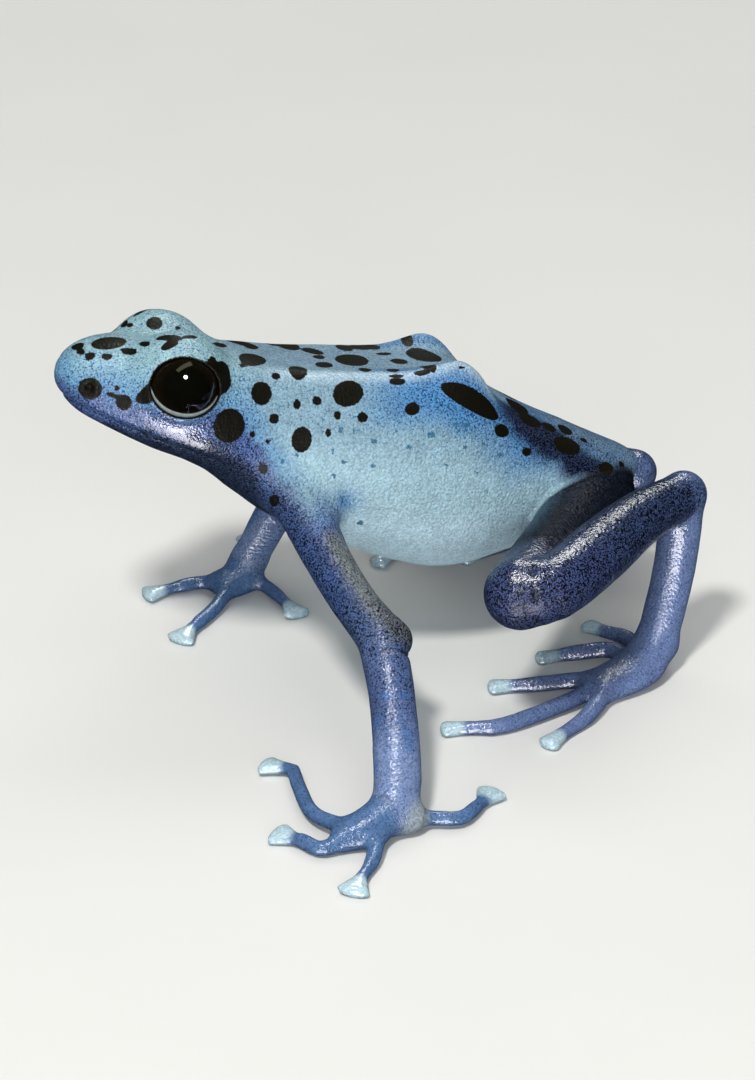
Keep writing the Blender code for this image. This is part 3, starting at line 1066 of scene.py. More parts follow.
def main_surface(count: int, faces: Array) -> Array:
    """Faces of the largest connected surface.

    Args:
        count: Number of points.
        faces: Corner numbers, four to a face.

    Returns:
        The faces that belong to it.
    """
    ends = np.concatenate([faces[:, [0, 1]], faces[:, [1, 2]], faces[:, [2, 3]]])
    label = np.arange(count)
    while True:
        lowest = np.minimum(label[ends[:, 0]], label[ends[:, 1]])
        fresh = label.copy()
        np.minimum.at(fresh, ends[:, 0], lowest)
        np.minimum.at(fresh, ends[:, 1], lowest)
        fresh = fresh[fresh]
        if (fresh == label).all():
            break
        label = fresh
    sizes = np.bincount(label)
    return faces[label[faces[:, 0]] == sizes.argmax()]


def compact(points: Array, faces: Array) -> tuple[Array, Array]:
    """Drop the points that no face uses.

    Args:
        points: The points.
        faces: Faces by the numbers of their points.

    Returns:
        The points that are left, and the faces with their new numbers.
    """
    used = np.unique(faces)
    number = np.full(len(points), -1)
    number[used] = np.arange(len(used))
    return points[used], number[faces]


def gradient(field: Field, points: Array, step: float = 0.02) -> Array:
    """Slope of a field at points, from small steps to both sides along each axis.

    Args:
        field: Gives a value at each point.
        points: Where the slope is wanted.
        step: How far each sample lies from its point, in millimetres.

    Returns:
        One vector per point.
    """
    slopes = np.empty_like(points)
    for axis in range(3):
        shift = np.zeros(3)
        shift[axis] = step
        slopes[:, axis] = (field(points + shift) - field(points - shift)) / (2 * step)
    return slopes


def settle(
    field: Field, points: Array, rounds: int = 2, flattest: float = 0.05, most: float = 0.15
) -> Array:
    """Move points onto the field's zero level.

    Args:
        field: Gives distances for rows of points.
        points: Rows near the level.
        rounds: How often to step towards it.
        flattest: The least squared slope that a step counts with.
        most: The longest step, in millimetres.

    Returns:
        The moved points.
    """
    for _ in range(rounds):
        slope = gradient(field, points)
        steepness = np.maximum(np.einsum("ij,ij->i", slope, slope), flattest)
        move = slope * (field(points) / steepness)[:, None]
        size = length(move)
        move *= np.minimum(1.0, most / np.maximum(size, 1e-9))[:, None]
        points = points - move
    return points


@dataclass(frozen=True)
class PhotoCamera:
    """The camera that sees the frog as the photograph does."""

    azimuth: float = -16.0
    elevation: float = 27.5
    distance: float = 280.0
    focal: float = 3864.0
    width: int = 755
    height: int = 1080
    sensor: float = 36.0
    target: Triple = (3.45, 0.0, 5.6)
    clip: Pair = (0.01, 20.0)

    @cached_property
    def axes(self) -> Array:
        """Rows on the floor's axes: right, up, and back towards the camera.

        Returns:
            Three rows of length 1.
        """
        turn, rise = math.radians(self.azimuth), math.radians(self.elevation)
        back = np.array(
            (math.sin(turn) * math.cos(rise), -math.cos(turn) * math.cos(rise), math.sin(rise))
        )
        right = np.array((math.cos(turn), math.sin(turn), 0.0))
        return np.array((right, np.cross(back, right), back))

    @cached_property
    def place(self) -> Array:
        """Where the camera stands."""
        return np.array(self.target) + self.distance * self.axes[2]

    def ray(self, x: float, y: float) -> Array:
        """Direction from the camera through a pixel of the photograph.

        Args:
            x: The pixel's column.
            y: The pixel's row.

        Returns:
            A vector of length 1 on the floor's axes.
        """
        across, up = (x - self.width / 2) / self.focal, (self.height / 2 - y) / self.focal
        way = across * self.axes[0] + up * self.axes[1] - self.axes[2]
        return way / np.linalg.norm(way)

    def pixel(self, point: Array) -> Array:
        """Pixel of the photograph that shows a point.

        Args:
            point: The point on the floor's axes.

        Returns:
            Its column and row.
        """
        across, up, back = self.axes @ (point - np.array(self.target))
        depth = self.distance - back
        right, down = self.focal * across / depth, -self.focal * up / depth
        return np.array((self.width / 2 + right, self.height / 2 + down))

    def build(self) -> None:
        """Make the camera and set it as the scene's."""
        data = bpy.data.cameras.new("photo_camera")
        data.sensor_width = self.sensor
        data.lens = self.sensor * self.focal / self.height
        data.clip_start, data.clip_end = self.clip
        camera = bpy.data.objects.new("photo_camera", data)
        bpy.context.scene.collection.objects.link(camera)
        frame = Matrix.Identity(4)
        for column in range(3):
            for row in range(3):
                frame[row][column] = self.axes[column][row]
        frame.translation = Vector(tidy_rows(self.place))
        camera.matrix_world = frame
        bpy.context.scene.camera = camera


CAMERA = PhotoCamera()


class Blotch(NamedTuple):
    """A spot as it looks in the photograph: pixel of its middle, half sizes in pixels, and its tilt."""

    x: float
    y: float
    wide: float
    high: float
    tilt: float = 0.0


def blotches(*rows: tuple[float, ...]) -> tuple[Blotch, ...]:
    """Rows of numbers as spots."""
    return tuple(Blotch(*row) for row in rows)


HEAD_SPOTS = blotches(
    (217, 370, 8, 8, 20), (223.5, 370, 6.5, 9.5, -8), (222.5, 381, 8, 14, 4),
    (218.5, 391.5, 7.5, 8), (209, 367, 5, 4, 30), (146.5, 390, 10, 3.8, -52),
    (145.5, 397, 9.5, 7, -15), (152, 392, 6, 10, 20), (90, 388, 12, 11), (124, 402.5, 8, 8),
    (114, 396, 9, 2.2, 20), (117, 388, 3, 3), (108.8, 341.8, 18, 6, -6), (77.5, 346, 7, 3, -20),
    (80.5, 351.6, 4.5, 3), (90, 356, 5.5, 4, -25), (107, 356.6, 6, 3.2),
    (129, 351.3, 8.5, 3.6, 5), (144.5, 343.6, 7, 2.6), (169.5, 344.8, 9.5, 4, -25),
    (168.6, 337.3, 14, 2.6), (190, 336.8, 8, 1.8), (154.3, 323, 8.3, 6.5), (130, 325, 3.6, 2.6),
    (177.5, 328, 3, 2),
)
NECK_SPOTS = blotches(
    (220, 344.7, 7.5, 3, 8), (252.5, 359.2, 14, 6, 8), (251.6, 347.5, 8, 2.1),
    (242, 365.6, 4, 1.8, 8), (288, 345.6, 13, 5.5, 20), (298, 370.3, 9.5, 7.5, 15),
    (261.4, 393.2, 10.5, 12, -8), (229.3, 425.7, 15.5, 17.5, 20), (301.6, 439.6, 10.3, 13, 10),
    (274, 418.6, 5, 5.5), (297, 404.3, 3.6, 5.5), (316.8, 400.7, 5, 4.6), (263, 468.6, 5, 5.5),
    (274, 500.7, 5, 6), (275.7, 376, 5, 3.5, 20), (252.5, 434, 3, 4), (268, 441, 2.6, 3),
    (337.5, 415.5, 3.6, 5), (328.2, 432.9, 3, 4.5, 10), (318.8, 357, 6.5, 2.6),
    (324, 364.8, 9, 3, 5),
)
BODY_SPOTS = blotches(
    (473.2, 400.4, 33, 10.5, 31), (501.8, 430.7, 7.8, 6.6, 20), (526.8, 451.8, 4.8, 4.4),
    (412.5, 408.8, 7.5, 6.5), (348.2, 393.2, 15.5, 13.3, -15), (397.5, 381.6, 8.5, 3.6),
    (396.5, 376, 7.5, 1.8), (362.5, 417.3, 5.5, 5.3), (351.8, 360.2, 17, 6.4, 5),
    (361.6, 347, 13, 2.7, 3), (424, 355.4, 18.5, 5.5, 10), (399, 361.4, 9, 2.6, 5),
    (365, 369.5, 7, 1.7, 4), (421.4, 372.7, 8, 2.8, -5), (427.7, 366, 10, 1.7),
    (392.9, 370, 7, 1.5), (383.9, 353.9, 8, 1.5), (461.5, 367.5, 3.5, 1.5),
    (517, 405.5, 14, 5, 38), (530, 420, 12, 5, 30), (549, 427, 8, 3.5, 30),
    (565, 429.5, 8.5, 4, 33), (567, 445, 14, 8, 25), (583.5, 440, 4, 2, 25),
    (606.5, 468.7, 7.8, 7), (621.5, 464.3, 3.8, 3.6),
)
SPECKS = blotches(
    (431, 435, 4.5, 3.5), (409, 447, 3.4, 3), (465, 447, 3, 3), (374.5, 441, 4, 2.6),
    (396, 432, 2.6, 3), (373, 466, 3.2, 2.6), (344, 462, 3.4, 2.8), (333, 451, 3, 3),
    (360, 523, 3.4, 2.8), (341, 430, 3, 4), (354.5, 431, 2, 4), (334, 476, 3, 3),
    (378, 423.5, 2.6, 2.4), (466, 425, 5, 3), (455, 424, 3, 3), (500, 455, 2.6, 2.4),
    (517, 464, 2.4, 2.4), (476, 473, 2.4, 2.2), (446, 465, 2.2, 2), (506, 472.5, 2.4, 2.2),
    (486, 492, 2.6, 2.2), (283, 462, 3, 3), (297, 455, 2.4, 2.6), (248, 388, 2.6, 2.2),
    (282, 478, 3, 2.4),
)


@dataclass(frozen=True)
class SkinSpot:
    """A spot on the skin: its middle, the plane it lies in, and its outline there."""

    middle: Array
    across: Array
    up: Array
    outward: Array
    form: Array
    reach: float
    depth: float = 1.3
    steepness: float = 2.0

    def distance(self, points: Array) -> Array:
        """Distance outside the spot's outline, for points near its plane.

        Args:
            points: Points on the floor's axes, in millimetres.

        Returns:
            Distances in millimetres, negative inside the spot.
        """
        offset = points - self.middle
        flat = np.column_stack((offset @ self.across, offset @ self.up))
        size = length(flat)
        ratio = np.sqrt(np.maximum(np.einsum("ij,jk,ik->i", flat, self.form, flat), 0.0))
        apart = np.where(ratio > 1e-3, (ratio - 1) * size / np.maximum(ratio, 1e-3), -self.reach)
        return apart + np.maximum(np.abs(offset @ self.outward) - self.depth, 0.0) * self.steepness

    def mirrored(self, tree: BVHTree, shift: float, scale: float) -> "SkinSpot | None":
        """The same spot on the other side of the body.

        Args:
            tree: Finds the nearest place on the skin.
            shift: How far forward it moves.
            scale: How much larger it gets.

        Returns:
            The spot, or None where the skin has no such place.
        """
        local = floor_to_body(self.middle[None])[0]
        local = (local + np.array((shift, 0.0, 0.0))) * np.array((1.0, -1.0, 1.0))
        place, normal, _, _ = tree.find_nearest(Vector(body_to_floor(local[None])[0]))
        if place is None:
            return None
        turn = BODY_AXES @ np.diag((1.0, -1.0, 1.0)) @ BODY_AXES.T
        across, up = turn @ self.across, turn @ self.up
        return SkinSpot(np.array(place), across, up, np.array(normal), self.form / scale**2, self.reach)


def place_blotch(blotch: Blotch, tree: BVHTree, stretch: float = 1.3) -> SkinSpot | None:
    """Find where a spot of the photograph lies on the skin.

    Args:
        blotch: The spot as the photograph shows it.
        tree: Finds where a ray meets the skin.
        stretch: The most that a spot seen at a slant may be longer than it looks.

    Returns:
        The spot on the skin, or None where no skin is near that pixel.
    """
    for drop in range(0, 10, 2):
        ray = CAMERA.ray(blotch.x, blotch.y + drop)
        place, normal, _, _ = tree.ray_cast(Vector(CAMERA.place), Vector(ray))
        if place is not None:
            break
    if place is None:
        return None
    middle, outward = np.array(place), np.array(normal)
    across = np.cross(CAMERA.axes[1], outward)
    across /= np.linalg.norm(across)
    up = np.cross(outward, across)
    here = CAMERA.pixel(middle)
    turn = math.radians(blotch.tilt)
    tilt = np.array(((math.cos(turn), math.sin(turn)), (-math.sin(turn), math.cos(turn))))
    tilt /= np.array(((blotch.wide,), (blotch.high,)))
    step = 0.1
    change = np.column_stack([(CAMERA.pixel(middle + way * step) - here) / step for way in (across, up)])
    root = tilt @ change
    form = root.T @ root
    values, vectors = np.linalg.eigh(form)
    longest = stretch * max(blotch.wide, blotch.high) * CAMERA.distance / CAMERA.focal
    values = np.maximum(values, 1 / longest**2)
    form = vectors @ np.diag(values) @ vectors.T
    reach = min(blotch.wide, blotch.high) * CAMERA.distance / CAMERA.focal
    return SkinSpot(middle, across, up, outward, form, reach)


def tone(red: float, green: float, blue: float) -> Array:
    """A colour as a screen shows it, 0 to 255, as linear light."""
    share = np.array((red, green, blue)) / 255
    return np.where(share <= 0.04045, share / 12.92, ((share + 0.055) / 1.055) ** 2.4)


class Coat(NamedTuple):
    """How one area of the skin looks."""

    granule: tuple[int, int, int]
    ground: tuple[int, int, int]
    cover: float
    relief: float
    wet: float

    def packed(self) -> Array:
        """All its values in one row."""
        return np.concatenate((tone(*self.granule), tone(*self.ground), self[2:]))


SKY = Coat((124, 154, 170), (64, 104, 138), 0.82, 1.0, 0.1)
FLANK = Coat((150, 180, 193), (128, 163, 184), 0.93, 0.8, 0.06)
CROWN = Coat((138, 172, 182), (50, 90, 128), 0.76, 1.0, 0.2)
CHEEK = Coat((86, 136, 178), (24, 58, 108), 0.64, 1.0, 0.15)
DEEP = Coat((74, 126, 174), (20, 52, 98), 0.6, 1.1, 0.3)
# Pale blue of the lower flank, made lighter still as painted light from below.
BELLY = Coat((180, 208, 222), (160, 192, 210), 0.95, 0.7, 0.06)
RIM = Coat((166, 188, 202), (124, 150, 178), 0.86, 0.7, 0.3)
BACK = Coat((124, 153, 173), (70, 94, 118), 0.74, 0.8, 0.25)
INDIGO = Coat((76, 99, 152), (14, 24, 52), 0.56, 1.0, 0.35)
THROAT = Coat((46, 63, 96), (6, 10, 20), 0.36, 0.9, 0.12)
RUMP_BAND = Coat((42, 54, 86), (4, 7, 13), 0.34, 0.9, 0.4)
VENT = Coat((104, 134, 164), (28, 42, 68), 0.6, 0.8, 0.35)
GROIN = Coat((64, 90, 108), (20, 34, 48), 0.66, 0.6, 0.25)
ARM_SKIN = Coat((70, 88, 122), (12, 17, 30), 0.46, 1.0, 0.14)
ARM_FRONT = Coat((58, 80, 126), (9, 15, 34), 0.46, 1.0, 0.2)
# Painted sheen: a grey coat on the side of the upper arm that faces back, standing for a broad reflection of
# light from behind.
ARM_REAR_SHEEN = Coat((112, 119, 122), (46, 52, 60), 0.66, 1.3, 0.25)
ELBOW = Coat((92, 98, 106), (12, 15, 22), 0.46, 1.3, 0.5)
FOREARM = Coat((80, 98, 140), (24, 35, 66), 0.62, 1.0, 0.85)
WRIST = Coat((112, 131, 170), (64, 84, 130), 0.82, 0.8, 0.75)
HAND = Coat((78, 108, 150), (46, 68, 110), 0.84, 0.7, 0.65)
# Dark navy of the thigh, made darker still as painted shade.
THIGH = Coat((27, 36, 54), (3, 5, 9), 0.34, 1.0, 0.03)
NAVY = Coat((56, 71, 108), (5, 7, 14), 0.34, 0.9, 0.8)
KNEE = Coat((62, 74, 116), (6, 9, 20), 0.38, 0.7, 0.9)
# Painted shade: a dark coat laid along each fold, where shade falls in the crease.
CREASE_SHADE = Coat((26, 30, 44), (3, 4, 8), 0.3, 0.6, 0.3)
FOOT = Coat((98, 116, 158), (58, 73, 112), 0.82, 0.85, 0.9)
PAD = Coat((172, 196, 206), (146, 174, 192), 0.9, 0.2, 0.7)
TUBERCLE = Coat((150, 160, 168), (96, 108, 126), 0.85, 0.4, 0.6)
COBALT = Coat((66, 104, 160), (36, 62, 112), 0.76, 0.8, 0.8)

LIP_LINE = (
    (3.2, -10.0), (5.0, -4.8), (6.2, -3.6), (7.6, -2.0), (9.2, -0.1), (10.4, 0.7), (11.6, 0.9),
    (13.5, 0.3), (15.4, 0.3), (17.0, 0.5), (19.3, 0.3), (21.4, 0.5),
)
BAND_LINE = ((-21.0, -2.2), (-17.5, -1.4), (-15.0, -0.5), (-12.7, 0.8), (-10.5, 2.0), (-9.2, 2.8))


class Along(Enum):
    """What an area's edges are measured along."""

    FORWARD = "forward on the trunk"
    SIDE = "outward from the trunk's middle"
    UP = "up on the trunk"
    LIP = "down from the lip's line"
    BAND = "up from the line of the rump's dark band"
    LIMB = "outward on a limb, in segments"
    FRONT = "how far the skin faces forward"
    TOP = "how far the skin faces up"
    NOISE = "noise from -1 to 1"


FORWARD, SIDE, UP, LIP, BAND, LIMB, FRONT, TOP, NOISE = Along


class Edge(NamedTuple):
    """A soft edge of an area: where it starts, where it is complete, and how far noise moves both."""

    along: Along
    start: float
    full: float
    wander: float = 0.0

    def share(self, measures: dict[Along, Array]) -> Array:
        """How much the edge lets through at each point."""
        places = measures[self.along] + self.wander * measures[NOISE]
        return ease(places, self.start, self.full)


class Stripe(NamedTuple):
    """A soft stripe of an area: its middle and its half width."""

    along: Along
    middle: float
    half_width: float

    def share(self, measures: dict[Along, Array]) -> Array:
        """How much the stripe lets through at each point."""
        return bell(measures[self.along] - self.middle, self.half_width)


@dataclass(frozen=True)
class Area:
    """A part of the skin, where all its edges and stripes let it through."""

    edges: tuple[Edge | Stripe, ...] = ()
    amount: float = 1.0
    wander: float = 0.0

    def share(self, measures: dict[Along, Array]) -> Array:
        """How much each point belongs to the area.

        Args:
            measures: What edges are measured along, at each point.

        Returns:
            Shares from 0 to 1.
        """
        share = self.amount + self.wander * measures[NOISE]
        for edge in self.edges:
            share = share * edge.share(measures)
        return np.clip(share, 0.0, 1.0)


NOWHERE = Area(amount=0.0)
CHEST = Edge(FORWARD, 3.4, 5.0)
FRONT_AREAS = (
    (FLANK, Area((Edge(UP, 1.2, -2.6, 0.4),))),
    # Lower flank: its own pale blue plus painted light from below.
    (BELLY, Area((Edge(UP, -3.0, -7.0, 0.4),))),
    (DEEP, Area((Edge(UP, 0.2, 2.4, 0.5), Edge(FORWARD, 3.0, -3.0)))),
    (DEEP, Area((Edge(UP, -3.2, 0.8, 0.6), Edge(FORWARD, -6.0, -11.0)), 0.9)),
    (CROWN, Area((Edge(FORWARD, 8.5, 10.5), Edge(UP, -0.5, 1.5)))),
    (BACK, Area((Edge(SIDE, 3.5, 2.3, 0.3), Edge(UP, 1.2, 3.2, 0.7), Edge(FORWARD, 9.5, 7.5)))),
    (RIM, Area((Stripe(SIDE, 4.0, 0.5), Edge(UP, 2.6, 3.4), Edge(FORWARD, 9.0, 6.0)), 0.85)),
    (CHEEK, Area((Edge(LIP, -3.4, -0.4), CHEST), 0.75)),
    (INDIGO, Area((Edge(LIP, -0.7, 0.8), CHEST))),
    (THROAT, Area((Edge(LIP, 1.3, 2.9), CHEST))),
)
DRY_BODY = Area((Edge(FORWARD, 11.0, 8.5),), 0.55)
REAR_AREAS = (
    (VENT, Area((Edge(FORWARD, -8.5, -12.0), Edge(BAND, 0.5, 1.8)))),
    (RUMP_BAND, Area((Stripe(BAND, 0.0, 1.1), Edge(FORWARD, -8.6, -11.0), Edge(SIDE, 1.6, 3.2)), 1.2)),
    (VENT, Area((Edge(FORWARD, -18.5, -20.5),), 0.8)),
    (DEEP, Area((Stripe(FORWARD, 1.5, 0.95), Stripe(UP, -4.7, 1.0)), wander=0.7)),
)


@dataclass(frozen=True)
class WetLip:
    """The wet gleam along the upper lip below the eye."""

    place: float = 15.7
    height: float = -0.3
    fall: float = 0.25
    half_width: float = 0.45
    widening: float = 0.1
    ends: Area = Area((Edge(FORWARD, 11.3, 12.1), Edge(FORWARD, 16.6, 15.2)))
    wetness: float = 1.3
    smoothing: float = 0.35

    def wet(self, rows: Array, measures: dict[Along, Array]) -> None:
        """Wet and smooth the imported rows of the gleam.

        Args:
            rows: Packed rows of the trunk.
            measures: What edges are measured along, at each point.
        """
        behind = self.place - measures[FORWARD]
        middle = self.height - self.fall * behind
        gleam = bell(measures[UP] - middle, self.half_width + self.widening * behind)
        gleam *= self.ends.share(measures)
        rows[:, -1] += (self.wetness - rows[:, -1]) * gleam
        rows[:, -2] *= 1 - self.smoothing * gleam


@dataclass(frozen=True)
class LimbDress:
    """How arms or legs are coloured: coats along them, areas over those, and the border to the trunk."""

    stops: tuple[tuple[float, Coat], ...]
    areas: tuple[tuple[Coat, Area], ...]
    trunk_border: Border
    past_border: Area = NOWHERE
    dry: Area = NOWHERE
    reach: float = 1.5
    wander: float = 0.05
    wander_noise: tuple[float, int] = (1.0, 7)
    patch_noise: tuple[float, int] = (0.8, 11)
    tubercle: Pair = (0.6, -0.1)
    # crease: how strongly the painted shade darkens the skin along each fold.
    crease: float = 0.85
    wrinkled: Border = Border(2.6, 2.0)
    least_ripple: float = 0.25
    smooth_border: float = 3.6

    def rows(self, places: Array) -> Array:
        """Packed rows for places along a limb.

        Args:
            places: Places along it, as Limb.progress gives them.

        Returns:
            One row per place.
        """
        marks = np.array([stop for stop, _ in self.stops])
        coats = np.array([coat.packed() for _, coat in self.stops])
        return np.column_stack([np.interp(places, marks, column) for column in coats.T])


ARM = LimbDress(
    stops=(
        (0.0, SKY), (0.12, SKY), (0.38, INDIGO), (0.6, ARM_SKIN), (0.9, ARM_SKIN), (1.15, FOREARM),
        (1.5, FOREARM), (1.75, WRIST), (2.0, WRIST), (2.3, HAND), (4.0, HAND),
    ),
    areas=(
        # Painted sheen over the rear-facing half of the upper arm.
        (ARM_REAR_SHEEN, Area((Edge(FRONT, 0.55, 0.05), Edge(LIMB, 0.3, 0.5), Edge(LIMB, 1.05, 0.9)))),
        (ELBOW, Area((Edge(LIMB, 0.82, 0.93), Edge(LIMB, 1.12, 1.02), Edge(FRONT, 0.45, 0.0)))),
        (ARM_FRONT, Area((Edge(FRONT, 0.15, 0.7), Edge(LIMB, 1.1, 0.7)))),
        (COBALT, Area((Edge(NOISE, 0.22, 0.5), Edge(LIMB, 1.2, 1.4), Edge(LIMB, 2.0, 1.8)), 0.55)),
    ),
    trunk_border=Border(-0.9, 0.9),
    past_border=Area((Edge(FRONT, 0.15, 0.7), Edge(LIMB, 1.1, 0.7), Edge(LIMB, 0.15, 0.4)), 0.9),
)
LEG = LimbDress(
    stops=(
        (0.0, THIGH), (0.75, THIGH), (0.95, KNEE), (1.2, KNEE), (1.5, NAVY), (1.9, NAVY), (2.1, FOOT),
        (5.0, FOOT),
    ),
    areas=((GROIN, Area((Edge(FRONT, 0.3, 0.85), Edge(LIMB, 0.85, 0.6)))),),
    trunk_border=Border(-0.12, 0.34),
    dry=Area((Edge(TOP, 0.44, 0.24), Edge(LIMB, 0.75, 0.9), Edge(LIMB, 1.3, 1.1)), 0.85),
)


class Colouring:
    """Gives each point of the skin its colours and finish from where it lies on the animal."""

    slow_noise: tuple[float, int] = (1.6, 3)
    fine_noise: tuple[float, int] = (0.7, 5)
    lip_wander: Pair = (0.55, 0.25)
    band_wander: Pair = (0.5, 0.3)
    spot_far: float = 2.0
    spot_reach: float = 5.0
    spot_flow: float = 0.2
    spot_swing: float = 0.18
    spot_seed: int = 20
    mirror_from: float = 1.3
    eye_reach: float = 1.0

    def __init__(self, points: Array, outward: Array, trunk: Trunk) -> None:
        """Keep the points and where they lie.

        Args:
            points: The skin's points.
            outward: Which way the skin faces there.
            trunk: The trunk that they lie on or near.
        """
        self.points = points
        self.facing = (outward @ BODY_AXES) * FLIP
        self.trunk = trunk
        self.local = floor_to_body(points)
        self.count = len(points)
        self.reach = self.local[:, 0].copy()
        self.ripple = np.full(self.count, LEG.least_ripple)

    def layer(self, base: Array, share: Array, coat: Coat) -> Array:
        """Lay a coat over packed rows, as much of it as each point's share says."""
        return base + (coat.packed() - base) * share[:, None]

    def trunk_rows(self) -> Array:
        """Packed rows for the trunk.

        Returns:
            One row per point.
        """
        forward, left, up = self.local.T
        noises = np.array([value_noise(self.points, *noise) for noise in (self.slow_noise, self.fine_noise)])
        lip, band = (np.interp(forward, *np.array(line).T) for line in (LIP_LINE, BAND_LINE))
        measures = {
            FORWARD: forward,
            SIDE: np.abs(left),
            UP: up,
            LIP: lip - up + self.lip_wander @ noises,
            BAND: up - band + self.band_wander @ noises,
            NOISE: noises[0],
        }
        rows = np.tile(SKY.packed(), (self.count, 1))
        for coat, area in FRONT_AREAS:
            rows = self.layer(rows, area.share(measures), coat)
        rows[:, -1] *= 1 - DRY_BODY.share(measures)
        WetLip().wet(rows, measures)
        for coat, area in REAR_AREAS:
            rows = self.layer(rows, area.share(measures), coat)
        return rows

    def limb_rows(self, limb: Limb, dress: LimbDress, near: Array, places: Array) -> tuple[Array, Array]:
        """Packed rows for the points near a limb.

        Args:
            limb: The limb.
            dress: How it is coloured.
            near: Numbers of the points.
            places: Their places along it.

        Returns:
            One row per point, and how far the limb's coats reach past the border to the trunk.
        """
        points = self.points[near]
        measures = {
            LIMB: places,
            FRONT: self.facing[near, 0],
            TOP: self.facing[near, 2],
            NOISE: value_noise(points, *dress.patch_noise),
        }
        coats = dress.rows(places)
        for coat, area in dress.areas:
            coats = self.layer(coats, area.share(measures), coat)
        coats[:, -1] *= 1 - dress.dry.share(measures)
        coats = self.layer(coats, limb.pad_share(points), PAD)
        for bump in limb.bumps:
            if bump.segment > 1:
                start, full = (bump.radius + margin for margin in dress.tubercle)
                off = length(points - np.array(bump.centre))
                coats = self.layer(coats, ease(off, start, full), TUBERCLE)
        # Paint shade along each fold: darken the skin where the crease sinks in.
        for fold in limb.folds:
            coats = self.layer(coats, dress.crease * fold.press(points), CREASE_SHADE)
        return coats, dress.past_border.share(measures)

    def rows(self) -> Array:
        """Packed rows for every point.

        Returns:
            One row per point.
        """
        rows = self.trunk_rows()
        trunk = self.trunk.distance(self.points)
        for limb in LIMBS:
            dress = ARM if limb.name.startswith("arm") else LEG
            found = limb.distance(self.points)
            near = np.flatnonzero(found < dress.reach)
            places = limb.progress(self.points[near])
            places += dress.wander * value_noise(self.points[near], *dress.wander_noise)
            coats, past = self.limb_rows(limb, dress, near, places)
            share = np.maximum(dress.trunk_border.share(trunk[near] - found[near]), past)
            rows[near] += (coats - rows[near]) * share[:, None]
            self.reach[near] += (places * limb.pace - self.reach[near]) * share
            wrinkled = dress.wrinkled.share(places) * (1 - dress.least_ripple) + dress.least_ripple
            self.ripple[near] += (wrinkled - self.ripple[near]) * share
            self.ripple[near] *= 1 - dress.smooth_border * share * (1 - share)
        return rows

    def spots(self, tree: BVHTree) -> tuple[Array, Array]:
        """Distances outside the dark spots and outside the faint specks.

        Args:
            tree: Finds places on the skin.

        Returns:
            The two distances at every point.
        """
        chance = np.random.default_rng(self.spot_seed)
        dark, faint = np.full(self.count, self.spot_far), np.full(self.count, self.spot_far)
        groups = (
            (HEAD_SPOTS, dark, 0.15),
            (NECK_SPOTS, dark, 0.6),
            (BODY_SPOTS, dark, 0.8),
            (SPECKS, faint, 1.0),
        )
        for seen, target, wander in groups:
            for blotch in seen:
                spot = place_blotch(blotch, tree)
                shift = chance.uniform(-wander, wander)
                scale = 1 + self.spot_swing * wander * chance.uniform(-1, 1)
                if spot is None:
                    LOG.warning("no skin near the spot at %s, %s", blotch.x, blotch.y)
                    continue
                self.stamp(target, spot)
                if floor_to_body(spot.middle[None])[0, 1] > self.mirror_from:
                    other = spot.mirrored(tree, shift, scale)
                    if other is not None:
                        self.stamp(target, other)
        for eye in EYES.values():
            near = np.flatnonzero(length(self.local - eye.middle) < eye.radius + self.eye_reach)
            dark[near] = np.minimum(dark[near], eye.rim(self.local[near]) - eye.dark_edge)
        return dark, faint

    def stamp(self, target: Array, spot: SkinSpot) -> None:
        """Bring one spot into a field of distances."""
        near = np.flatnonzero(length(self.points - spot.middle) < self.spot_reach)
        target[near] = smooth_min(target[near], spot.distance(self.points[near]), self.spot_flow)


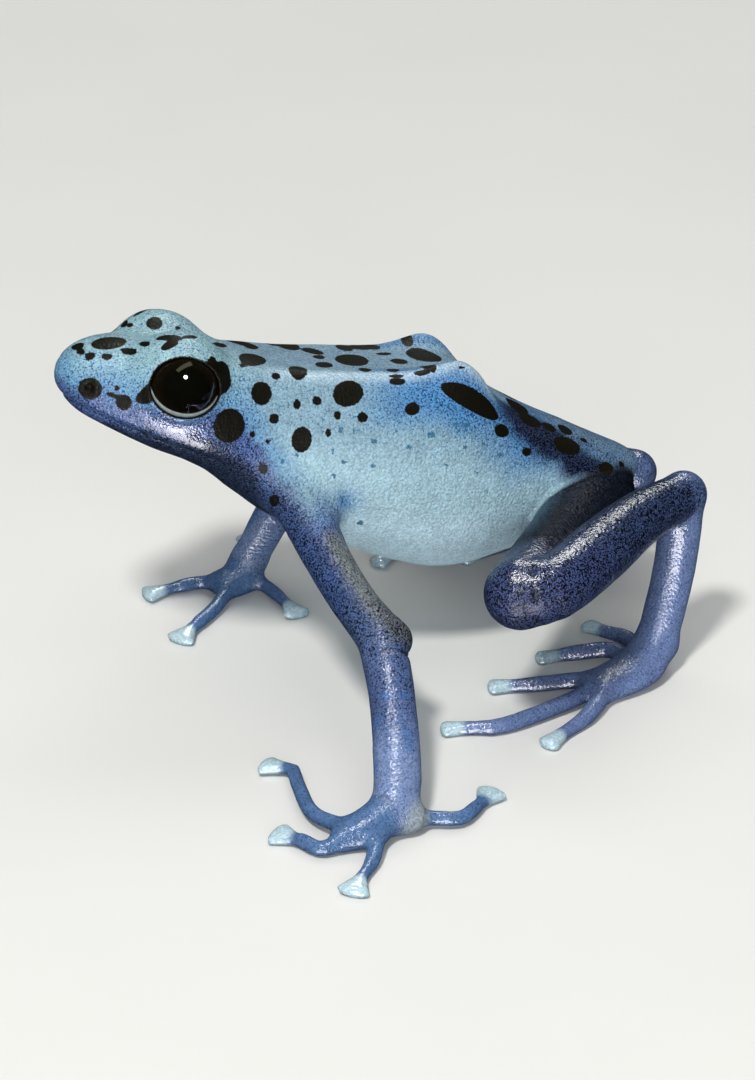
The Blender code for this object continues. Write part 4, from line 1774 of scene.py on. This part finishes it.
@dataclass(frozen=True)
class Skin:
    """The frog's whole skin as one closed surface."""

    trunk: Trunk = Trunk()
    low: Triple = (-24.0, -39.0, -1.0)
    high: Triple = (27.0, 16.0, 29.0)
    floor_round: float = 0.08
    lump_height: float = 0.022
    lump_layers: tuple[tuple[float, float, int], ...] = ((1.0, 1.5, 11), (0.5, 0.7, 12))
    lumps: Border = Border(0.3, 1.2)

    def distance(self, points: Array) -> Array:
        """Distance to the skin.

        Args:
            points: Rows of x, y, z.

        Returns:
            One distance for each point, negative inside.
        """
        whole = self.trunk.distance(points)
        for limb in LIMBS:
            found = limb.distance(points)
            near = np.flatnonzero(found < MARGIN)
            if near.size:
                flow = limb.flow_at(points[near])
                whole[near] = smooth_min(whole[near], found[near], flow)
        return smooth_max(whole, -points[:, 2], self.floor_round)

    def surface(self, step: float) -> tuple[Array, Array, Array]:
        """Mesh the skin.

        Args:
            step: Distance between samples of the field.

        Returns:
            Points, which way the skin faces at them, and four-cornered faces.
        """
        low, high = np.array(self.low), np.array(self.high)
        values = sample_field(self.distance, low, high, step)
        points, faces = surface_net(values, low, step)
        points, faces = compact(points, main_surface(len(points), faces))
        points = settle(self.distance, points)
        outward = gradient(self.distance, points)
        outward /= np.maximum(length(outward), 1e-6)[:, None]
        lift = self.lump_height * sum(
            share * value_noise(points, size, seed) for share, size, seed in self.lump_layers
        )
        lift *= self.lumps.share(points[:, 2])
        points = points + outward * lift[:, None]
        points[:, 2] = np.maximum(points[:, 2], 0.0)
        return points, outward, faces

    def build(self) -> bpy.types.Object:
        """Make the skin's object with its values.

        Returns:
            The skin's object.
        """
        points, outward, faces = self.surface(FINE_STEP)
        LOG.info("skin: %d points, %d faces", len(points), len(faces))
        obj = make_object("frog_skin", points, faces)
        tree = BVHTree.FromPolygons(points.tolist(), faces.tolist())
        colouring = Colouring(points, outward, self.trunk)
        rows = colouring.rows()
        dark, faint = colouring.spots(tree)
        add_colour(obj, "granule", rows[:, 0:3])
        add_colour(obj, "ground", rows[:, 3:6])
        values = (*rows[:, 6:9].T, dark, faint, colouring.reach, colouring.ripple)
        for name, column in zip(("cover", "relief", "wet", "spot", "speck", "reach", "ripple"), values):
            add_values(obj, name, column)
        return obj


def add_colour(obj: bpy.types.Object, name: str, colours: Array) -> None:
    """Store a colour at each point of a mesh.

    Args:
        obj: The mesh object.
        name: The attribute's name.
        colours: Linear red, green and blue, one row per point.
    """
    layer = obj.data.attributes.new(name, "FLOAT_COLOR", "POINT")
    packed = np.column_stack((colours, np.ones(len(colours)))).astype(np.float32)
    layer.data.foreach_set("color", packed.ravel())


def add_values(obj: bpy.types.Object, name: str, values: Array) -> None:
    """Store a number at each point of a mesh."""
    layer = obj.data.attributes.new(name, "FLOAT", "POINT")
    layer.data.foreach_set("value", values.astype(np.float32))


class Wiring:
    """Places and joins the nodes of one shader tree."""

    def __init__(self, tree: Tree) -> None:
        """Take the tree to work in."""
        self.tree = tree

    def node(self, kind: str, **settings: object) -> Node:
        """Place a node.

        Args:
            kind: The node's type, without its common prefix.
            **settings: Properties to set on it.

        Returns:
            The node.
        """
        made = self.tree.nodes.new(f"ShaderNode{kind}")
        for name, value in settings.items():
            setattr(made, name, value)
        return made

    def feed(self, socket: Socket, source: Socket | float | Sequence[float]) -> None:
        """Join a socket to a source, or set its value.

        Args:
            socket: The input.
            source: An output, a number or a few numbers.
        """
        if isinstance(source, Socket):
            self.tree.links.new(source, socket)
        else:
            socket.default_value = source

    def math(self, operation: str, *sources: Socket | float, clamp: bool = False) -> Socket:
        """Work out a number.

        Args:
            operation: What to do.
            *sources: Numbers or sockets, in order.
            clamp: Keep the result between 0 and 1.

        Returns:
            The socket with the result.
        """
        made = self.node("Math", operation=operation, use_clamp=clamp)
        for socket, source in zip(made.inputs, sources):
            self.feed(socket, source)
        return made.outputs[0]

    def mix(
        self,
        share: Socket | float,
        first: Socket | Sequence[float],
        second: Socket | Sequence[float],
    ) -> Socket:
        """Mix two colours, share of the second into the first."""
        made = self.node("Mix", data_type="RGBA")
        return self.plug(made, Factor=share, A=first, B=second).outputs["Result"]

    def mapped(self, source: Socket, low: float, high: float, start: float, end: float) -> Socket:
        """Turn the values from low to high into those from start to end, held at both ends."""
        made = self.node("MapRange", interpolation_type="SMOOTHSTEP")
        return self.plug(made, Value=source, From_Min=low, From_Max=high, To_Min=start, To_Max=end).outputs[0]

    def value(self, name: str) -> Socket:
        """Read a number stored at the mesh's points."""
        return self.node("Attribute", attribute_name=name).outputs["Fac"]

    def colour(self, name: str) -> Socket:
        """Read a colour stored at the mesh's points."""
        return self.node("Attribute", attribute_name=name).outputs["Color"]

    def spot(self) -> Socket:
        """Where the shaded spot lies on the piece's own axes, in metres."""
        return self.node("TexCoord").outputs["Object"]

    def noise(self, spot: Socket, scale: Socket | float, detail: float) -> Socket:
        """Place a noise of 0.5 on average, read at a spot, with some finer layers in it."""
        return self.plug(self.node("TexNoise"), Vector=spot, Scale=scale, Detail=detail).outputs["Fac"]

    def cells(self, spot: Socket, scale: Socket | float) -> Node:
        """Place a texture of cells, read at a spot, with its number of cells to a metre."""
        return self.plug(self.node("TexVoronoi", feature="F1"), Vector=spot, Scale=scale)

    def scaled(self, colour: Socket, factor: Socket) -> Socket:
        """Make a colour lighter or darker: each of its parts is multiplied by the factor."""
        made = self.node("VectorMath", operation="SCALE")
        return self.plug(made, Vector=colour, Scale=factor).outputs[0]

    def plug(self, node: Node, **sources: Socket | float | Sequence[float]) -> Node:
        """Feed a node's inputs, named with _ for each space.

        Args:
            node: The node.
            **sources: What feeds each input.

        Returns:
            The same node.
        """
        for name, source in sources.items():
            self.feed(node.inputs[name.replace("_", " ")], source)
        return node


def new_group(
    name: str, inputs: dict[str, tuple[str, object]], outputs: dict[str, str]
) -> tuple[Wiring, Node, Node]:
    """Start a shader node group.

    Args:
        name: The group's name.
        inputs: Socket names with their kind, Float or Color, and value.
        outputs: Socket names with their kind.

    Returns:
        The group's wiring, its input node and its output node.
    """
    group = bpy.data.node_groups.new(name, "ShaderNodeTree")
    for label, (kind, value) in inputs.items():
        socket = group.interface.new_socket(label, in_out="INPUT", socket_type=f"NodeSocket{kind}")
        socket.default_value = value
    for label, kind in outputs.items():
        group.interface.new_socket(label, in_out="OUTPUT", socket_type=f"NodeSocket{kind}")
    return Wiring(group), group.nodes.new("NodeGroupInput"), group.nodes.new("NodeGroupOutput")


@dataclass(frozen=True)
class Granules:
    """Fine granules: pale ones over a darker ground, some of them missing, each a low dome."""

    clump_scale: float = 0.6
    clump_limit: float = 1.15
    clump_swing: float = 0.42
    radius: float = 0.3
    radius_gain: float = 0.55
    sharpness: float = 4.0
    tone: float = 0.78
    tone_gain: float = 0.44
    dome: float = 0.3
    dome_slope: float = 0.7
    bead_scale: float = 0.55
    bead_depth: float = -1.5

    def group(self) -> Tree:
        """Build the group.

        Returns:
            The group.
        """
        black = (0.0, 0.0, 0.0, 1.0)
        wiring, start, end = new_group(
            "granules",
            {
                "Granule": ("Color", black),
                "Ground": ("Color", black),
                "Cover": ("Float", 0.7),
                "Size": ("Float", 0.00018),
                "Relief": ("Float", 1.0),
            },
            {"Color": "Color", "Height": "Float"},
        )
        spot, cover = wiring.spot(), start.outputs["Cover"]
        scale = wiring.math("DIVIDE", 1.0, start.outputs["Size"])
        cells = wiring.cells(spot, scale)
        clumps = wiring.noise(spot, wiring.math("MULTIPLY", scale, self.clump_scale), detail=1.0)
        centred = wiring.math("SUBTRACT", clumps, 0.5)
        swing = wiring.math("MULTIPLY", wiring.math("SUBTRACT", self.clump_limit, cover), self.clump_swing)
        radius = wiring.math("MULTIPLY_ADD", cover, self.radius_gain, self.radius)
        radius = wiring.math("MULTIPLY_ADD", centred, swing, radius)
        edge = wiring.math("SUBTRACT", radius, cells.outputs["Distance"])
        mask = wiring.math("MULTIPLY_ADD", edge, self.sharpness, 0.5, clamp=True)
        chance = wiring.node("SeparateColor")
        wiring.feed(chance.inputs[0], cells.outputs["Color"])
        tone_of_one = wiring.math("MULTIPLY_ADD", chance.outputs[0], self.tone_gain, self.tone)
        varied = wiring.scaled(start.outputs["Granule"], tone_of_one)
        wiring.feed(end.inputs["Color"], wiring.mix(mask, start.outputs["Ground"], varied))
        beads = wiring.cells(spot, wiring.math("MULTIPLY", scale, self.bead_scale))
        dome = wiring.math("MULTIPLY_ADD", edge, self.dome_slope, self.dome, clamp=True)
        dome = wiring.math("MULTIPLY_ADD", beads.outputs["Distance"], self.bead_depth, dome)
        wiring.feed(end.inputs["Height"], wiring.math("MULTIPLY", dome, start.outputs["Relief"]))
        return wiring.tree


def mottle_group() -> Tree:
    """Slow unevenness of a colour, as moist skin and matt board both have it.

    Returns:
        The group.
    """
    wiring, start, end = new_group(
        "mottle",
        {"Color": ("Color", (0.5, 0.5, 0.5, 1.0)), "Scale": ("Float", 600.0), "Amount": ("Float", 0.15)},
        {"Color": "Color"},
    )
    noise = wiring.noise(wiring.spot(), start.outputs["Scale"], detail=3.0)
    swing = wiring.math("MULTIPLY", wiring.math("SUBTRACT", noise, 0.5), start.outputs["Amount"])
    factor = wiring.math("MULTIPLY_ADD", swing, 2.0, 1.0)
    wiring.feed(end.inputs["Color"], wiring.scaled(start.outputs["Color"], factor))
    return wiring.tree


class Groups:
    """The shader node groups, each made once."""

    def __init__(self) -> None:
        """Build both groups."""
        self.granules = Granules().group()
        self.mottle = mottle_group()

    def uneven(
        self, wiring: Wiring, colour: Socket | Sequence[float], scale: float, amount: float
    ) -> Socket:
        """Make a colour slowly uneven, as finely and as strongly as scale and amount say."""
        made = wiring.node("Group", node_tree=self.mottle)
        return wiring.plug(made, Color=colour, Scale=scale, Amount=amount).outputs["Color"]


def new_material(name: str) -> tuple[bpy.types.Material, Wiring, Node]:
    """Start a material.

    Args:
        name: The material's name.

    Returns:
        The material, its wiring and its Principled shader.
    """
    material = bpy.data.materials.new(name)
    material.use_nodes = True
    tree = material.node_tree
    return material, Wiring(tree), tree.nodes["Principled BSDF"]


@dataclass(frozen=True)
class MoistSkin:
    """Granular amphibian skin with dark spots under a thin film of water."""

    spot_colour: Triple = (0.0052, 0.0045, 0.0022)
    speck_colour: Triple = (0.022, 0.11, 0.19)
    speck_edge: Pair = (-0.08, 0.02)
    speck_cover: float = 0.9
    speck_ragged: float = 2.0
    granule_size: float = 0.00012
    ragged: float = 0.2
    ragged_scale: float = 6000.0
    edge: float = 0.035
    film_on_spots: float = 0.1
    film_gain: float = 0.6
    film_roughness: float = 0.16
    dry_roughness: float = 0.5
    wet_roughness: float = 0.32
    wet_full: float = 0.7
    relief: float = 0.00006
    film_relief: float = 0.000026
    relief_on_spots: float = 0.4
    bump_strength: float = 0.8
    bead_layers: tuple[Pair, ...] = ((1.0, -0.7), (0.55, -1.5))
    patch_scale: float = 700.0
    patch_amount: float = 0.22
    ripple_length: float = 0.22
    ripple_share: float = 5.0
    ripple_scale: float = 900.0
    ripple_bend: float = 2.0
    dry_shine: float = 0.035

    def material(self, groups: Groups) -> bpy.types.Material:
        """Build the material from the values at the skin's points.

        Args:
            groups: The shared node groups.

        Returns:
            The material.
        """
        material, wiring, shader = new_material("moist_frog_skin")
        relief = wiring.value("relief")
        skin = wiring.plug(
            wiring.node("Group", node_tree=groups.granules),
            Granule=wiring.colour("granule"),
            Ground=wiring.colour("ground"),
            Cover=wiring.value("cover"),
            Size=self.granule_size,
            Relief=relief,
        )
        uneven = groups.uneven(wiring, skin.outputs["Color"], self.patch_scale, self.patch_amount)
        colour, matt = self.spotted(wiring, uneven)
        share = wiring.math("MULTIPLY_ADD", matt, self.film_gain, self.film_on_spots)
        film = wiring.math("MULTIPLY", wiring.value("wet"), share)
        wiring.plug(
            shader,
            Base_Color=colour,
            Roughness=wiring.mapped(film, 0.0, self.wet_full, self.dry_roughness, self.wet_roughness),
            Specular_IOR_Level=self.dry_shine,
            Coat_Weight=film,
            Coat_Roughness=self.film_roughness,
        )
        ripples = wiring.math("MULTIPLY", self.ripples(wiring), self.ripple_share)
        skin_height = wiring.math("MULTIPLY_ADD", ripples, relief, skin.outputs["Height"])
        film_height = wiring.math("MULTIPLY", wiring.math("ADD", ripples, self.beads(wiring)), relief)
        strong = wiring.math("MULTIPLY_ADD", matt, 1 - self.relief_on_spots, self.relief_on_spots)
        layers = (("Normal", skin_height, self.relief), ("Coat Normal", film_height, self.film_relief))
        for name, height, depth in layers:
            height = wiring.math("MULTIPLY", height, strong)
            bump = wiring.node("Bump")
            wiring.plug(bump, Height=height, Distance=depth, Strength=self.bump_strength)
            wiring.feed(shader.inputs[name], bump.outputs["Normal"])
        return material

    def spotted(self, wiring: Wiring, colour: Socket) -> tuple[Socket, Socket]:
        """Lay faint specks and dark spots with ragged edges over a colour.

        Args:
            wiring: The material's wiring.
            colour: The skin's colour without spots.

        Returns:
            The colour with spots, and a mask of the skin outside the dark ones.
        """
        wander = wiring.noise(wiring.spot(), self.ragged_scale, detail=2.0)
        ragged = wiring.math("MULTIPLY", wiring.math("SUBTRACT", wander, 0.5), self.ragged)
        coarser = wiring.math("MULTIPLY", ragged, self.speck_ragged)
        speck = wiring.math("ADD", wiring.value("speck"), coarser)
        faint = wiring.mapped(speck, *self.speck_edge, self.speck_cover, 0.0)
        colour = wiring.mix(faint, colour, (*self.speck_colour, 1.0))
        spot = wiring.math("ADD", wiring.value("spot"), ragged)
        dark = wiring.mapped(spot, -self.edge, self.edge, 1.0, 0.0)
        colour = wiring.mix(dark, colour, (*self.spot_colour, 1.0))
        return colour, wiring.math("SUBTRACT", 1.0, dark)

    def beads(self, wiring: Wiring) -> Socket:
        """Low round beads of the film of water over the granules.

        Args:
            wiring: The material's wiring.

        Returns:
            The socket with their height.
        """
        spot = wiring.spot()
        height = 0.0
        for finer, depth in self.bead_layers:
            cells = wiring.cells(spot, finer / self.granule_size)
            height = wiring.math("MULTIPLY_ADD", cells.outputs["Distance"], depth, height)
        return height

    def ripples(self, wiring: Wiring) -> Socket:
        """Short wrinkles across the limbs and the flanks.

        Args:
            wiring: The material's wiring.

        Returns:
            The socket with their height.
        """
        coordinates = wiring.spot()
        slow = wiring.noise(coordinates, self.patch_scale, detail=3.0)
        reach = wiring.math("DIVIDE", wiring.value("reach"), self.ripple_length)
        spot = wiring.node("SeparateXYZ")
        wiring.feed(spot.inputs[0], coordinates)
        place = wiring.node("CombineXYZ")
        wiring.feed(place.inputs[0], wiring.math("MULTIPLY_ADD", slow, self.ripple_bend, reach))
        for axis in (1, 2):
            wiring.feed(place.inputs[axis], wiring.math("MULTIPLY", spot.outputs[axis], self.ripple_scale))
        noise = wiring.noise(place.outputs[0], 1.0, detail=1.0)
        return wiring.math("MULTIPLY", noise, wiring.value("ripple"))


@dataclass(frozen=True)
class DarkEye:
    """Near-black wet eye with a faint brown iris."""

    black: Triple = (0.0022, 0.0022, 0.0014)
    brown: Triple = (0.0055, 0.004, 0.0022)
    mottle_scale: float = 2500.0
    mottle_amount: float = 0.5

    def material(self, groups: Groups) -> bpy.types.Material:
        """Build the material.

        Args:
            groups: The shared node groups.

        Returns:
            The material.
        """
        material, wiring, shader = new_material("dark_wet_eye")
        iris = groups.uneven(wiring, (*self.brown, 1.0), self.mottle_scale, self.mottle_amount)
        colour = wiring.mix(wiring.value("iris"), (*self.black, 1.0), iris)
        wiring.plug(shader, Base_Color=colour, Roughness=0.05, Coat_Weight=1.0, Coat_Roughness=0.02)
        return material


@dataclass(frozen=True)
class PaleLid:
    """The pale moist edge of the lower lid."""

    colour: Triple = (0.22, 0.26, 0.262)
    mottle_scale: float = 3000.0
    mottle_amount: float = 0.3

    def material(self, groups: Groups) -> bpy.types.Material:
        """Build the material.

        Args:
            groups: The shared node groups.

        Returns:
            The material.
        """
        material, wiring, shader = new_material("pale_lower_lid")
        uneven = groups.uneven(wiring, (*self.colour, 1.0), self.mottle_scale, self.mottle_amount)
        wiring.plug(shader, Base_Color=uneven, Roughness=0.25, Coat_Weight=0.8, Coat_Roughness=0.08)
        return material


@dataclass(frozen=True)
class StudioFloor:
    """Plain pale matt floor that glows a little far from the frog, where the lights don't reach."""

    colour: Triple = (0.74, 0.74, 0.72)
    corners: int = 96
    radius: float = 4.0
    drop: float = 0.02
    roughness: float = 0.65
    mottle_scale: float = 40.0
    mottle_amount: float = 0.03
    glow_colour: Triple = (1.0, 1.0, 0.98)
    glow: float = 0.56
    glow_from: float = 0.1
    glow_full: float = 0.6

    def build(self, groups: Groups) -> None:
        """Make the floor as a wide disc just under the frog.

        Args:
            groups: The shared node groups.
        """
        turns = np.linspace(0, 2 * math.pi, self.corners, endpoint=False)
        rim = np.column_stack((np.cos(turns), np.sin(turns), np.zeros(self.corners))) * (self.radius / MM)
        rim[:, 2] = -self.drop
        floor = make_object("studio_floor", rim, [tuple(range(self.corners))])
        material, wiring, shader = new_material("pale_board")
        uneven = groups.uneven(wiring, (*self.colour, 1.0), self.mottle_scale, self.mottle_amount)
        away = wiring.node("VectorMath", operation="LENGTH")
        wiring.feed(away.inputs[0], wiring.spot())
        glow = wiring.mapped(away.outputs["Value"], self.glow_from, self.glow_full, 0.0, self.glow)
        tint = (*self.glow_colour, 1.0)
        wiring.plug(
            shader, Base_Color=uneven, Roughness=self.roughness, Emission_Color=tint, Emission_Strength=glow
        )
        floor.data.materials.append(material)
        floor.visible_glossy = False


class Role(Enum):
    """What a light does: make soft light, or only show as a reflection in the skin or the eyes."""

    SOFT = "soft"
    SKIN_GLOSS = "skin gloss"
    EYE_GLOSS = "eye gloss"


class Softbox(NamedTuple):
    """A flat light: where it hangs as seen from the frog, its size, strength and tint."""

    name: str
    azimuth: float
    elevation: float
    distance: float
    size: Pair
    power: float
    tint: Triple
    role: Role


@dataclass(frozen=True)
class Studio:
    """The lights: one key from the upper left, soft boxes round it, reflections and a pale surround."""

    boxes: tuple[Softbox, ...] = (
        Softbox("key", -36.0, 56.0, 0.6, (0.08, 0.08), 2.7, (1.0, 0.98, 0.94), Role.SOFT),
        Softbox("overhead", 10.0, 80.0, 0.6, (0.5, 0.5), 0.6, (1.0, 1.0, 1.0), Role.SOFT),
        Softbox("front", -10.0, 18.0, 0.8, (0.6, 0.5), 2.9, (0.94, 0.97, 1.0), Role.SOFT),
        Softbox("rear", 158.0, 58.0, 0.7, (0.7, 0.3), 1.2, (0.98, 1.0, 0.97), Role.SOFT),
        Softbox("knee_strip", -34.0, 28.0, 0.6, (0.045, 0.28), 3.4, (1.0, 0.97, 0.96), Role.SKIN_GLOSS),
        Softbox("high_strip", -60.0, 76.0, 0.6, (0.14, 0.26), 5.0, (1.0, 0.98, 0.96), Role.SKIN_GLOSS),
        Softbox("rear_sheet", 155.0, 44.0, 0.6, (0.22, 0.2), 2.6, (0.98, 1.0, 0.94), Role.SKIN_GLOSS),
        Softbox("low_sheet", -20.0, -27.0, 0.6, (0.46, 0.38), 14.0, (1.0, 0.96, 0.98), Role.SKIN_GLOSS),
        Softbox("shin_strip", -46.0, -4.0, 0.6, (0.28, 0.12), 1.9, (1.0, 0.97, 0.98), Role.SKIN_GLOSS),
        Softbox("catchlight", 4.0, 46.0, 0.6, (0.12, 0.12), 1.4, (1.0, 1.0, 0.98), Role.EYE_GLOSS),
        Softbox("eye_arc", 27.0, 80.0, 0.6, (0.54, 0.13), 0.17, (1.0, 0.96, 0.64), Role.EYE_GLOSS),
    )
    target: Triple = (0.0, 0.0, 0.01)
    surround: Triple = (0.86, 0.88, 0.9)
    surround_strength: float = 0.2

    def build(self, skin: bpy.types.Object, eyes: Sequence[bpy.types.Object]) -> None:
        """Hang the lights and set the surround.

        Args:
            skin: The frog's skin.
            eyes: The balls of its eyes.
        """
        receivers = {Role.SKIN_GLOSS: [skin], Role.EYE_GLOSS: eyes}
        groups = {}
        for role, objects in receivers.items():
            groups[role] = bpy.data.collections.new(f"lit_for_{role.name.lower()}")
            for obj in objects:
                groups[role].objects.link(obj)
        target = Vector(self.target)
        for box in self.boxes:
            data = bpy.data.lights.new(box.name, "AREA")
            data.shape = "ELLIPSE" if box.size[0] == box.size[1] else "RECTANGLE"
            data.size, data.size_y = box.size
            data.energy = box.power
            data.color = box.tint
            light = bpy.data.objects.new(box.name, data)
            turn, rise = math.radians(box.azimuth), math.radians(box.elevation)
            way = Vector((math.sin(turn) * math.cos(rise), -math.cos(turn) * math.cos(rise), math.sin(rise)))
            light.location = target + way * box.distance
            light.rotation_euler = way.to_track_quat("Z", "Y").to_euler()
            light.visible_glossy = box.role is not Role.SOFT
            light.visible_diffuse = box.role is Role.SOFT
            if box.role in groups:
                light.light_linking.receiver_collection = groups[box.role]
                light.light_linking.blocker_collection = groups[box.role]
            bpy.context.scene.collection.objects.link(light)
        world = bpy.data.worlds.new("pale_surround")
        world.use_nodes = True
        background = world.node_tree.nodes["Background"]
        background.inputs["Color"].default_value = (*self.surround, 1.0)
        background.inputs["Strength"].default_value = self.surround_strength
        world.cycles_visibility.glossy = False
        bpy.context.scene.world = world
        bpy.context.scene.view_settings.view_transform = "Standard"


def flesh_nodes(nodes: Sequence[str]) -> Iterator[str]:
    """Names of the solids that the skin stands for: all but the eyes."""
    return (name for name in sorted(nodes) if not name.startswith("eye_"))


def add_iris(obj: bpy.types.Object, eye: Eye) -> None:
    """Mark the ring of the iris on an eye ball.

    Args:
        obj: The ball's object.
        eye: The eye that it belongs to.
    """
    count = len(obj.data.vertices)
    flat = np.empty(count * 3, np.float32)
    obj.data.vertices.foreach_get("co", flat)
    points = flat.reshape(-1, 3) / MM + ORIGIN_SHIFT
    out, along, up = eye.split(floor_to_body(points))
    off = np.hypot(along / eye.iris_stretch, up) / eye.radius
    add_values(obj, "iris", eye.iris_inner.share(off) * eye.iris_outer.share(off) * (out > 0))


def main() -> None:
    """Build the frog, dress it and light it."""
    logging.basicConfig(level=logging.INFO, format="%(name)s: %(message)s")
    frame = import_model()
    CAMERA.build()
    groups = Groups()
    skin = Skin().build()
    skin.data.materials.append(MoistSkin().material(groups))
    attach(skin, "root")
    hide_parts(*flesh_nodes(list(frame["nodes"])))
    LOG.info("built %s", skin.name)
    eye_finish, lid_finish = DarkEye().material(groups), PaleLid().material(groups)
    balls = []
    for side, eye in EYES.items():
        ball = eye.ball()
        balls.append(ball)
        add_iris(ball, eye)
        ball.data.materials.append(eye_finish)
        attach(ball, "root")
        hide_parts(f"eye_{side.name.lower()}")
        lid = eye.lower_lid()
        lid.data.materials.append(lid_finish)
        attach(lid, "root")
        LOG.info("built %s and %s", ball.name, lid.name)
    StudioFloor().build(groups)
    Studio().build(skin, balls)


if __name__ == "__main__":
    main()
